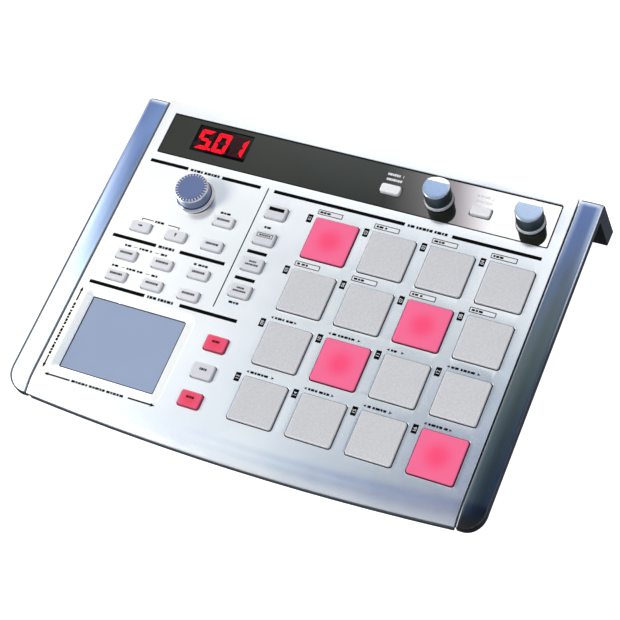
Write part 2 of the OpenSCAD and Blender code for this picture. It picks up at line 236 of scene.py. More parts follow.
def metal(name, code, rough=0.3, brush=None, var=0.05, metallic=1.0, bump=0.05, wear=0.15, coat=0.0, fade=None, tip=None, across=None, end=None, rim=None, slant=None, local=False):
    """Metal or metallic paint; brush gives the scale of drawn lines along each axis. fade, across, slant, rim, end and
    tip paint reflection, highlight and shade into the colour by place along the part.
    """
    m = Mat(name, metallic=metallic, coat=coat, coat_rough=0.15)
    if local:
        m.coord = m.node("ShaderNodeAttribute", attribute_name="local").outputs["Vector"]
    base = srgb(code)
    coord = m.stretched(*brush) if brush else m.coord
    lines = m.noise(1.0 if brush else 1800.0, 3.0, 0.65, coord)
    blotch = m.remap(m.noise(30.0, 3.0), 0.0, 1.0)
    col = m.mix(blotch, shade(base, 1.0 - var), shade(base, 1.0 + var))
    if fade:
        # painted reflection and shade: a second tone towards the front end
        sep = m.node("ShaderNodeSeparateXYZ")
        m.link(m.coord, sep.inputs[0])
        col = m.mix(m.remap(sep.outputs[1], 1.0, 0.0, fade[1], fade[2], True), col, srgb(fade[0]))
        if across:
            # painted shade towards the outer edge, away from the rear end
            gone = m.remap(m.math("ABSOLUTE", sep.outputs[0]), 0.0, across[1], across[2], across[3], True)
            gone = m.math("MULTIPLY", gone, m.remap(sep.outputs[1], 1.0, 0.0, across[4], across[5], True))
            col = m.mix(gone, col, srgb(across[0]))
        if slant:
            # painted shade inside and painted highlight outside, as on a crowned bar, over the middle of its length
            wide = m.math("ABSOLUTE", sep.outputs[0])
            mid = m.math("MULTIPLY", m.remap(sep.outputs[1], 0.0, 1.0, -0.03, 0.04, True), m.remap(sep.outputs[1], 1.0, 0.0, 0.075, 0.115, True))
            dark = m.math("MULTIPLY", mid, m.remap(wide, 1.0, 0.0, 0.145, 0.151, True))
            pale = m.math("MULTIPLY", mid, m.remap(wide, 0.0, 1.0, 0.150, 0.157, True))
            col = m.mix(m.math("MULTIPLY", dark, slant[0]), col, srgb(slant[1]))
            col = m.mix(m.math("MULTIPLY", pale, slant[2]), col, srgb(slant[3]))
        if rim:
            # painted highlight on both long edges at the rear
            wide = m.math("ABSOLUTE", sep.outputs[0])
            both = m.math("ADD", m.remap(wide, 0.0, 1.0, 0.1530, 0.157, True), m.remap(wide, 1.0, 0.0, 0.1435, 0.1470, True))
            col = m.mix(m.math("MULTIPLY", both, m.remap(sep.outputs[1], 0.0, rim[1], rim[2], rim[3], True)), col, srgb(rim[0]))
        if end:
            # painted highlight on the bend at the rear
            near = m.math("MULTIPLY", m.remap(sep.outputs[1], 0.0, 1.0, end[1], end[2], True), m.remap(sep.outputs[1], 1.0, 0.0, 0.131, 0.136, True))
            col = m.mix(near, col, srgb(end[0]))
        # painted shade at the front tip
        if tip:
            col = m.mix(m.remap(sep.outputs[1], 1.0, 0.0, tip[1], tip[2], True), col, srgb(tip[0]))
    col = m.mix(m.remap(lines, 0.0, 0.12, 0.3, 0.7), col, shade(base, 0.9))
    if wear:
        col = m.mix(m.math("MULTIPLY", m.edge(), wear), col, (0.95, 0.96, 0.98, 1.0))
    m.colour(col)
    m.rough(m.remap(lines, max(0.02, rough - 0.03), rough + 0.03, 0.25, 0.75))
    m.bump(lines, bump, 0.00005)
    return m.mat


def lit_rubber(name, edge_code, core_code, radius, glow, height):
    """Translucent rubber lit from below: brightest over the lamp in the middle."""
    m = Mat(name, spec=0.35)
    sep = m.node("ShaderNodeSeparateXYZ")
    m.link(m.coord, sep.inputs[0])
    r2 = m.math("ADD", m.math("MULTIPLY", sep.outputs[0], sep.outputs[0]), m.math("MULTIPLY", sep.outputs[1], sep.outputs[1]))
    fac = m.remap(m.math("SQRT", m.math("ADD", r2, 3.0e-6)), 0.0, 1.0, 0.0018, radius, True)
    fine = m.noise(2600.0, 2.0, 0.6)
    col = m.mix(fac, srgb(core_code), srgb(edge_code))
    col = m.mix(m.remap(fine, 0.0, 0.5, 0.3, 0.7), col, shade(srgb(edge_code), 0.93))
    m.colour(col)
    low = m.remap(sep.outputs[2], 0.12, 1.0, height - 0.0013, height - 0.0002, True)
    m.link(m.mix(low, (0.0, 0.0, 0.0, 1.0), col), m.bsdf.inputs["Emission Color"])
    m.bsdf.inputs["Emission Strength"].default_value = glow
    m.rough(m.remap(m.noise(90.0, 3.0), 0.5, 0.62))
    m.bump(fine, 0.10, 0.00012)
    return m.mat


def silver_paint(name, tones=("e4e8f0", "eef1f6", "d9dfea")):
    """Satin silver paint with a fine metallic flake."""
    m = Mat(name, metallic=0.84, coat=0.0)
    flake = m.noise(1500.0, 2.0, 0.5)
    cloud = m.remap(m.noise(16.0, 3.0), 0.0, 1.0)
    col = m.mix(cloud, srgb(tones[0]), srgb(tones[1]))
    col = m.mix(m.remap(flake, 0.0, 0.25, 0.35, 0.7), col, srgb(tones[2]))
    col = m.mix(m.math("MULTIPLY", m.edge(), 0.35), col, srgb("fbfcff"))
    m.colour(col)
    m.rough(m.remap(m.noise(70.0, 3.0), 0.165, 0.195))
    m.bump(flake, 0.015, 0.00003)
    return m.mat


def gloss_black(name, code, rough=0.03, ior=1.75):
    """Polished dark window plastic with the faintest dust and polishing haze."""
    m = Mat(name, spec=0.5, ior=ior, coat=0.0)
    base = srgb(code)
    col = m.mix(m.remap(m.noise(26.0, 3.0), 0.0, 1.0), shade(base, 0.88), shade(base, 1.12))
    m.colour(col)
    m.rough(m.remap(m.noise(55.0, 4.0), rough * 0.7, rough * 1.4))
    m.bump(m.noise(12.0, 1.0), 0.02, 0.00008)
    return m.mat


def board(name):
    """Circuit board: solder mask over a net of copper tracks, with plated pads."""
    m = Mat(name, spec=0.5)
    tracks = m.cells(420.0, "DISTANCE_TO_EDGE")
    col = m.mix(m.remap(tracks, 0.0, 1.0, 0.03, 0.09), srgb("2f7a4a"), srgb("12452a"))
    dots = m.cells(260.0)
    col = m.mix(m.remap(dots, 1.0, 0.0, 0.10, 0.14), col, srgb("c9a24a"))
    m.colour(col)
    m.rough(m.remap(m.noise(120.0), 0.3, 0.45))
    m.bump(tracks, 0.2, 0.0001)
    return m.mat


M = {}
M["silver"] = silver_paint("satin_silver_paint")
# paler copy of the panel paint for the touch pad recess: a painted highlight on its slopes
M["recess"] = silver_paint("recess_painted_highlight", ("edf5ff", "f5faff", "e6f0ff"))
M["dark_case"] = moulded("dark_case_plastic", "22272c", rough=0.55, grain=2200.0, bump=0.3, wear=0.0)
# dark colour for the front cut edge of the top case: painted shade
M["edge_line"] = moulded("front_edge_painted_shade", "3a4550", rough=0.5, spec=0.3, wear=0.0)
DRAWN = (1600.0, 60.0, 1600.0)
# rail colours: the right rail is a darker copy of the left, painted shade; both carry painted reflection along their
# length and a painted highlight on the rear bend
M["rail"] = metal("rail_metal", "5e7199", rough=0.17, brush=DRAWN, bump=0.02, wear=0.0, metallic=0.95, fade=("69726f", -0.04, 0.11), slant=(0.6, "39455c", 0.6, "a6b4cc"), end=("d3def0", 0.1245, 0.129), local=True)
M["rail_right"] = metal("rail_metal_painted_shade", "5b6f9f", rough=0.17, brush=DRAWN, bump=0.02, wear=0.0, metallic=0.95, fade=("7d8886", 0.0, 0.12), across=("505548", 0.56, 0.1455, 0.152, 0.05, 0.15), rim=("d3def0", 0.4, 0.06, 0.115), end=("d3def0", 0.1245, 0.129), tip=("433c2c", -0.092, -0.074), local=True)
# rounded top edges: painted highlight, fading to painted shade at the front
M["rail_edge"] = metal("rail_edge_painted_highlight", "dde6f5", rough=0.25, brush=DRAWN, bump=0.02, wear=0.0, metallic=0.45, fade=("30373c", 0.01, 0.10), tip=("0c0d0e", -0.092, -0.076), local=True)
# inner top edge of the right rail: painted highlight
M["rail_edge_in"] = metal("rail_inner_painted_highlight", "dde6f5", rough=0.25, brush=DRAWN, bump=0.02, wear=0.0, metallic=0.45, fade=("7d8890", 0.0, 0.11), local=True)
# inner top edge of the left rail: painted shade of the gap to the panel
M["rail_inner_painted_shade"] = moulded("rail_inner_painted_shade", "6d7684", rough=0.6, spec=0.15, wear=0.0)
# outer side: painted shade, near black at the front tip
M["rail_side"] = metal("rail_side_painted_shade", "434d5e", rough=0.3, brush=DRAWN, bump=0.02, wear=0.0, metallic=0.7, fade=("101214", -0.092, -0.074), local=True)
# outer edge of the left rail: a painted dark line of shade
M["rail_line"] = metal("rail_outer_painted_shade_line", "66759e", rough=0.6, brush=DRAWN, bump=0.02, wear=0.0, metallic=0.2, fade=("2b3038", 0.03, 0.09), local=True)
# underside of the rails: painted shade
M["rail_under"] = moulded("rail_underside_painted_shade", "0b0d10", rough=0.6, spec=0.2, wear=0.0)
M["strip"] = gloss_black("strip_gloss", "21241c", ior=1.48)
# black for the gaps round the strip and the pads, painted shade; also used round the touch plate and in the socket
# holes
M["gasket"] = moulded("black_gasket", "070708", rough=0.7, spec=0.15, wear=0.0)
M["window"] = gloss_black("window_dark", "0f0b0a", rough=0.05, ior=1.22)
M["led_face"] = moulded("led_face", "1c1a18", rough=0.35, wear=0.0)
M["touch"] = moulded("touch_plate", "a1b1ce", rough=0.34, grain=3200.0, bump=0.06, speck=0.04, wear=0.06)
M["pad"] = moulded("pad_rubber", "e1e1e3", rough=0.72, grain=1500.0, bump=0.35, speck=0.2, spec=0.3, wear=0.0)
# lighter copy of the pad rubber for the rounded upper edge: a painted highlight
M["pad_rim"] = moulded("pad_rubber_rim_highlight", "f3f3f5", rough=0.6, grain=1500.0, bump=0.2, speck=0.08, spec=0.4, wear=0.0)
M["pad_lit"] = lit_rubber("pad_rubber_lit", "c65376", "cc2d59", 0.0125, 0.77, PAD_H * MM)
M["button"] = moulded("button_white", "e4e4e8", rough=0.4, grain=2600.0, bump=0.08, speck=0.02, wear=0.0)
# brighter copies of the button white for the keys on the left and on the strip: painted light
M["button_panel"] = moulded("button_white_painted_light", "f0f0f3", rough=0.4, grain=2600.0, bump=0.08, speck=0.02, wear=0.0)
M["button_strip"] = moulded("button_gloss_painted_light", "fbfbfd", rough=0.28, grain=2600.0, bump=0.05, speck=0.02, wear=0.0)
M["button_lit"] = lit_rubber("button_lit", "c44663", "c52e45", 0.0075, 0.65, BUTTON_H * MM)
M["knob_side"] = metal("knob_side", "4c5c63", rough=0.32, var=0.05, bump=0.03, wear=0.0, metallic=0.7)
M["knob_cap"] = metal("knob_cap", "a9bfe2", rough=0.28, var=0.03, bump=0.04, wear=0.0, metallic=0.8)
M["bright"] = metal("bright_metal", "f2f4f8", rough=0.12, var=0.02, bump=0.02, wear=0.0)
# paler copy of the cap colour for the second knob: a painted highlight
M["knob_cap_2"] = metal("knob_cap_painted_highlight", "bccfec", rough=0.28, var=0.03, bump=0.04, wear=0.0, metallic=0.8)
M["knob_ring"] = metal("knob_ring", "f4f6fa", rough=0.3, var=0.02, bump=0.02, wear=0.0, metallic=0.5)
M["enc_cap"] = metal("encoder_cap", "7282ac", rough=0.36, var=0.04, bump=0.05, wear=0.0, metallic=0.6)
M["enc_side"] = metal("encoder_side", "7484a6", rough=0.40, var=0.03, bump=0.03, wear=0.0, metallic=0.7)
# dark colour for the groove under the encoder's side: painted shade
M["enc_slot"] = moulded("encoder_groove_painted_shade", "2c395c", rough=0.6, var=0.1, bump=0.05, spec=0.2, wear=0.0)
M["enc_notch"] = metal("encoder_notch", "6474a0", rough=0.42, var=0.04, bump=0.04, wear=0.0, metallic=0.55)
M["tooth"] = moulded("encoder_tooth", "fdfdff", rough=0.35, var=0.03, bump=0.03, speck=0.03, wear=0.0)
M["ink"] = moulded("black_ink", "050506", rough=0.75, var=0.2, bump=0.05, spec=0.06, speck=0.2, wear=0.0)
M["ink_grey"] = moulded("grey_ink", "2c2d31", rough=0.7, spec=0.1, var=0.15, bump=0.05, speck=0.15, wear=0.0)
M["ink_white"] = moulded("white_ink", "f4f5f7", rough=0.5, var=0.03, bump=0.05, speck=0.03, wear=0.0)
M["black_plastic"] = moulded("black_plastic", "17181a", rough=0.42, grain=2400.0, bump=0.15, wear=0.0)
M["steel"] = metal("steel", "b9bcc2", rough=0.28, brush=(900.0, 900.0, 900.0), bump=0.06, wear=0.2)
M["gold"] = metal("gold_contact", "d9b25a", rough=0.25, bump=0.04)
M["rubber"] = moulded("foot_rubber", "17181a", rough=0.82, grain=1300.0, bump=0.5, spec=0.25, wear=0.0)
M["board"] = board("circuit_board")
M["film"] = metal("sensor_film", "c8a860", rough=0.4, metallic=0.7)


def digit_red(name, code, glow):
    m = Mat(name, spec=0.06)
    base = srgb(code)
    col = m.mix(m.remap(m.noise(900.0, 2.0), 0.0, 1.0), shade(base, 0.9), base)
    m.colour(col)
    m.link(col, m.bsdf.inputs["Emission Color"])
    m.bsdf.inputs["Emission Strength"].default_value = glow
    m.rough(m.remap(m.noise(300.0), 0.55, 0.65))
    return m.mat


M["digit_on"] = digit_red("digit_on", "f80f22", 1.0)
# the unlit segments keep a faint painted glow
M["digit_off"] = digit_red("digit_off", "3f1a20", 0.03)


# ---------------------------------------------------------------- mesh kit
def settle(me, place):
    """Moves a mesh into the row frame and keeps its own coordinates for the materials."""
    at = me.attributes.new("local", "FLOAT_VECTOR", "POINT")
    at.data.foreach_set("vector", [c for v in me.vertices for c in v.co])
    me.transform(place)


def make(name, verts, faces, mats, body, replaces=(), slot=None, matrix=None, sharp=38.0, face_mats=None, weighted=False, baked=False):
    """A mesh object in the panel frame (verts in mm), riding on a body. baked puts the mesh itself into the row frame."""
    me = bpy.data.meshes.new(name)
    me.from_pydata([(v[0] * MM, v[1] * MM, v[2] * MM) for v in verts], [], [tuple(f) for f in faces])
    me.validate()
    bm = bmesh.new()
    bm.from_mesh(me)
    bmesh.ops.remove_doubles(bm, verts=bm.verts, dist=1e-7)
    bmesh.ops.recalc_face_normals(bm, faces=bm.faces)
    bm.to_mesh(me)
    bm.free()
    mats = mats if isinstance(mats, (list, tuple)) else [mats]
    for m in mats:
        me.materials.append(m)
    if face_mats is not None and len(face_mats) == len(me.polygons):
        me.polygons.foreach_set("material_index", face_mats)
    me.polygons.foreach_set("use_smooth", [True] * len(me.polygons))
    me.set_sharp_from_angle(angle=math.radians(sharp))
    ob = bpy.data.objects.new(name, me)
    scene.collection.objects.link(ob)
    place = matrix if matrix is not None else PANEL
    if baked:
        settle(me, place)
    else:
        ob.matrix_world = place
    if weighted:
        w = ob.modifiers.new("weighted", "WEIGHTED_NORMAL")
        w.mode, w.weight, w.keep_sharp = "FACE_AREA", 100, True
    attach(ob, body)
    if replaces:
        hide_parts(*replaces)
    return ob


def rounded_rect(hw, hv, r, k=6):
    """Closed outline, anticlockwise, k steps to a corner."""
    r = max(1e-4, min(r, hw - 1e-4, hv - 1e-4))
    out = []
    for cx, cy, a0 in ((hw - r, hv - r, 0), (-hw + r, hv - r, 90), (-hw + r, -hv + r, 180), (hw - r, -hv + r, 270)):
        for i in range(k + 1):
            a = math.radians(a0 + 90.0 * i / k)
            out.append((cx + r * math.cos(a), cy + r * math.sin(a)))
    return out


class Build:
    """Collects verts, faces and material numbers."""

    def __init__(self):
        self.v, self.f, self.m = [], [], []

    def ring(self, pts):
        i = len(self.v)
        self.v.extend(pts)
        return list(range(i, i + len(pts)))

    def face(self, idx, mat=0):
        self.f.append(tuple(idx))
        self.m.append(mat)

    def bridge(self, a, b, mat=0, closed=True):
        n = len(a)
        for i in range(n if closed else n - 1):
            j = (i + 1) % n
            self.face((a[i], a[j], b[j], b[i]), mat)

    def fan(self, ring, centre, mat=0):
        c = len(self.v)
        self.v.append(centre)
        n = len(ring)
        for i in range(n):
            self.face((ring[i], ring[(i + 1) % n], c), mat)

    def loft(self, rings, mats=None, cap0=True, cap1=True):
        ids = [self.ring(r) for r in rings]
        for k in range(len(ids) - 1):
            self.bridge(ids[k], ids[k + 1], mats[k] if mats else 0)
        if cap0:
            self.face(ids[0][::-1], mats[0] if mats else 0)
        if cap1:
            self.face(ids[-1], mats[-1] if mats else 0)
        return ids

    def plate(self, u0, u1, v0, v1, n0, n1, r=0.15, mat=0, k=2):
        """A thin plate with rounded corners, for printed marks."""
        cu, cv = (u0 + u1) / 2, (v0 + v1) / 2
        pts = rounded_rect((u1 - u0) / 2, (v1 - v0) / 2, min(r, (u1 - u0) / 2.01, (v1 - v0) / 2.01), k)
        self.loft([[(cu + x, cv + y, n0) for x, y in pts], [(cu + x, cv + y, n1) for x, y in pts]], [mat, mat])

    def poly(self, pts, n0, n1, mat=0):
        self.loft([[(x, y, n0) for x, y in pts], [(x, y, n1) for x, y in pts]], [mat, mat])


def keep_order(b, name, mats, body, **kw):
    """make() with material numbers kept by face; the mesh isn't welded so that they stay in order."""
    return make(name, b.v, b.f, mats, body, face_mats=b.m, **kw)


# ---------------------------------------------------------------- top case
FIL = 0.45


def perimeter(d):
    """Outline of the top case set in by d, always with the same points."""
    out = []
    hw = HALF_W - d
    n_front = 72
    for i in range(n_front + 1):
        u = hw * (-1 + 2 * i / n_front)
        out.append((u, BOW_C - math.sqrt((BOW_R - d) ** 2 - u * u)))
    rows = [BOW_R - 1.8 * j for j in range(1, 11)]
    for r in rows:
        out.append((hw, BOW_C - math.sqrt(r * r - hw * hw)))
    vs = [-60, -30, 0, 30, 60, 90, 112]
    for v in vs:
        out.append((hw, float(v)))
    rv, c = REAR_V - d, 2.0
    for i in range(6):
        a = math.radians(90 * i / 5)
        out.append((hw - c + c * math.cos(a), rv - c + c * math.sin(a)))
    for i in range(1, 24):
        out.append((hw - c - (2 * (hw - c)) * i / 24, rv))
    for i in range(6):
        a = math.radians(90 + 90 * i / 5)
        out.append((-hw + c + c * math.cos(a), rv - c + c * math.sin(a)))
    for v in reversed(vs):
        out.append((-hw, float(v)))
    for r in reversed(rows):
        out.append((-hw, BOW_C - math.sqrt(r * r - hw * hw)))
    return out


def inside(pt, poly):
    x, y = pt
    hit = False
    j = len(poly) - 1
    for i in range(len(poly)):
        xi, yi = poly[i]
        xj, yj = poly[j]
        if (yi > y) != (yj > y) and x < (xj - xi) * (y - yi) / (yj - yi) + xi:
            hit = not hit
        j = i
    return hit


def top_case():
    holes = []

    def rect(c, hw, hv, r, k=5):
        def at(d):
            return [(c[0] + x, c[1] + y) for x, y in rounded_rect(hw + d, hv + d, max(0.05, r + d), k)]
        return at

    through = [(FIL, 0.0), (0.22, -0.06), (0.07, -0.19), (0.0, -0.42), (0.0, -PLATE_T)]
    for i in range(16):
        holes.append((rect(pad_at(i), PAD_SIDE / 2 + 0.5, PAD_SIDE / 2 + 0.5, 1.7), through, True))
    for name, (u, v, d) in BUTTONS.items():
        if not name.startswith("assign"):
            holes.append((rect((u, v), BUTTON_W / 2 + 0.4, d / 2 + 0.4, 1.5), through, True))

    def circle(d):
        return [(ENCODER_AT[0] + (4.2 + d) * math.cos(2 * math.pi * i / 40), ENCODER_AT[1] + (4.2 + d) * math.sin(2 * math.pi * i / 40)) for i in range(40)]
    holes.append((circle, through, True))
    sc = (0.0, (STRIP_V0 + STRIP_V1) / 2)
    strip = rect(sc, STRIP_W + 0.1, (STRIP_V1 - STRIP_V0) / 2 + 0.1, 0.9)
    holes.append((strip, [(FIL, 0.0), (0.2, -0.06), (0.06, -0.18), (0.0, -0.4), (0.0, -1.9), (-3.1, -1.9), (-3.1, -PLATE_T)], True))
    # touch pad recess: sloped sides down to the plate's seat
    slope = (XY_SIZE[0] + 11.6) / 2
    xy = rect(XY_C, XY_SIZE[0] / 2, XY_SIZE[1] / 2, 0.7)
    holes.append((xy, [(6.3, 0.0), (5.9, -0.012), (5.5, -0.05), (5.0, -0.105), (0.75, -0.62), (0.45, -0.70), (0.28, -0.82), (0.2, -1.0), (0.1, -1.5), (0.1, -2.2)], False))

    pts, cons, starts = [], [], []
    top_ring = perimeter(FIL)
    starts.append((0, len(top_ring)))
    pts += top_ring
    cons += [(i, (i + 1) % len(top_ring)) for i in range(len(top_ring))]
    for at, rings, _ in holes:
        ring = at(rings[0][0])
        s = len(pts)
        pts += ring
        cons += [(s + i, s + (i + 1) % len(ring)) for i in range(len(ring))]
        starts.append((s, len(ring)))
    # lines along the rolled front, so that it stays round
    n_front = 72
    first_row = 73
    hw = HALF_W - FIL
    back = len(top_ring) - 10
    for j in range(1, 11):
        r = BOW_R - 1.8 * j
        s = len(pts)
        for i in range(1, n_front):
            u = hw * (-1 + 2 * i / n_front)
            pts.append((u, BOW_C - math.sqrt(r * r - u * u)))
        right = first_row + j - 1
        left = len(top_ring) - j
        chain = [left] + list(range(s, s + n_front - 1)) + [right]
        cons += [(chain[i], chain[i + 1]) for i in range(len(chain) - 1)]
    # a light grid of extra points keeps the flat part free of slivers
    hole_polys = [at(rings[0][0] + 1.2) for at, rings, _ in holes]
    border = perimeter(6.0)
    for gu in range(-136, 137, 8):
        for gv in range(-78, 128, 8):
            p = (gu + 0.013, gv + 0.017)
            if inside(p, border) and not any(inside(p, h) for h in hole_polys):
                pts.append(p)
    res = delaunay_2d_cdt([Vector(p) for p in pts], cons, [], 1, 1e-6, True)
    out_v, tris, orig = res[0], res[2], res[3]
    polys = [at(rings[0][0] - 1e-4) for at, rings, _ in holes]
    src = [o[0] if o else None for o in orig]
    b = Build()
    top = b.ring([(p.x, p.y, roll_n(p.x, p.y)) for p in out_v])
    by_src = {}
    for i, s in enumerate(src):
        for q in orig[i]:
            by_src[q] = top[i]
    keep = []
    for t in tris:
        c = ((out_v[t[0]].x + out_v[t[1]].x + out_v[t[2]].x) / 3, (out_v[t[0]].y + out_v[t[1]].y + out_v[t[2]].y) / 3)
        if not any(inside(c, h) for h in polys):
            keep.append(t)
            b.face([top[i] for i in t])
    # where each upper point sits on the underside
    low = {i: (out_v[i].x, out_v[i].y) for i in range(len(out_v))}
    index_of = {by_src[q]: i for i in range(len(out_v)) for q in orig[i]}

    def run(start, count, rings_xy):
        prev = [by_src[start + i] for i in range(count)]
        for pts_k in rings_xy:
            cur = b.ring(pts_k)
            b.bridge(prev, cur)
            prev = cur
        return prev

    # outer edge: small round, then the edge of the plate
    rings_xy = []
    for d, drop in ((0.22, 0.06), (0.07, 0.19), (0.0, 0.42), (0.0, PLATE_T)):
        rings_xy.append([(x, y, roll_n(x, y) - drop) for x, y in perimeter(d)])
    lower_rings = [run(0, len(top_ring), rings_xy)]
    # painted shade: the cut edge along the front is coloured dark
    for i in range(n_front):
        b.m[len(b.m) - len(top_ring) + i] = 1
    for (at, rings, open_), (s, c) in zip(holes, starts[1:]):
        first = len(b.m)
        end = run(s, c, [[(x, y, n) for x, y in at(d)] for d, n in rings[1:]])
        # the closed touch pad recess takes the paler paint, a painted highlight on its slopes
        if not open_:
            b.m[first:] = [2] * (len(b.m) - first)
        lower_rings.append(end if open_ else None)
        if not open_:
            b.face(end)
    # underside
    under = {}
    for (s, c), ring in zip(starts, lower_rings):
        for i in range(c):
            vi = by_src[s + i]
            if ring is not None:
                under[vi] = ring[i]
    new = []
    for t in keep:
        idx = []
        for i in t:
            vi = top[i]
            if vi not in under:
                x, y = out_v[i].x, out_v[i].y
                under[vi] = b.ring([(x, y, roll_n(x, y) - PLATE_T)])[0]
            idx.append(under[vi])
        b.face(idx[::-1])
    # backing under the touch pad closes its part of the underside
    s, c = starts[-1]
    ring = [under[by_src[s + i]] for i in range(c)]
    deep = b.ring([(x, y, -PLATE_T - 1.0) for x, y in holes[-1][0](4.0)])
    b.bridge(ring, deep)
    b.face(deep)
    return make("top_case_shell", b.v, b.f, [M["silver"], M["edge_line"], M["recess"]], "case", replaces=["top_case"], slot="silver_case", weighted=True, face_mats=b.m, baked=True)


case_shell = top_case()


# ---------------------------------------------------------------- side rails
def rail_top(v):
    x = -(v + FRONT_V - 6.1 - ROLL_LEN)
    if x <= 0:
        return 0.0
    if x <= ROLL_LEN:
        return -ROLL_R + math.sqrt(ROLL_R ** 2 - x * x)
    return -ROLL_R * (1 - math.cos(ROLL_A)) - (x - ROLL_LEN) * math.tan(ROLL_A)


def rail_bottom(v):
    x = -(v + FRONT_V - 6.1 - ROLL_LEN)
    if x <= 0:
        return -RAIL_T
    ri = ROLL_R - RAIL_T
    xe = ri * math.sin(ROLL_A)
    if x <= xe:
        return -ROLL_R + math.sqrt(ri * ri - x * x)
    ye = -ROLL_R + ri * math.cos(ROLL_A)
    ex, ey = ROLL_LEN + 4, ye - 4 * math.tan(ROLL_A) - 1
    return ye + (ey - ye) * (x - xe) / (ex - xe)


def rail_section(u0, u1, h, inset=0.0):
    """Points round a section: u across, t from 0 at the underside to 1 at the crowned top."""
    w = u1 - u0 - 2 * inset
    r_out, r_in, r_bot, k = min(1.2, w * 0.3), min(0.9, w * 0.2), min(0.6, w * 0.2), 6
    crown = 0.14 * min(1.0, w / 14.0)
    out = []
    x0, x1, y0, y1 = u0 + inset, u1 - inset, inset, h - inset
    xc, hw = (x0 + x1) / 2, w / 2

    def arc(cx, cy, r, a0):
        for i in range(k + 1):
            a = math.radians(a0 + 90.0 * i / k)
            out.append((cx + r * math.cos(a), cy + r * math.sin(a)))
    arc(x1 - r_bot, y0 + r_bot, r_bot, -90)
    arc(x1 - r_out, y1 - r_out - crown, r_out, 0)
    for i in range(1, 16):
        x = x1 - r_out + (x0 + r_in - x1 + r_out) * i / 16.0
        out.append((x, y1 - crown * ((x - xc) / hw) ** 2))
    arc(x0 + r_in, y1 - r_in - crown, r_in, 90)
    arc(x0 + r_bot, y0 + r_bot, r_bot, 180)
    return [(x, y / h) for x, y in out], w


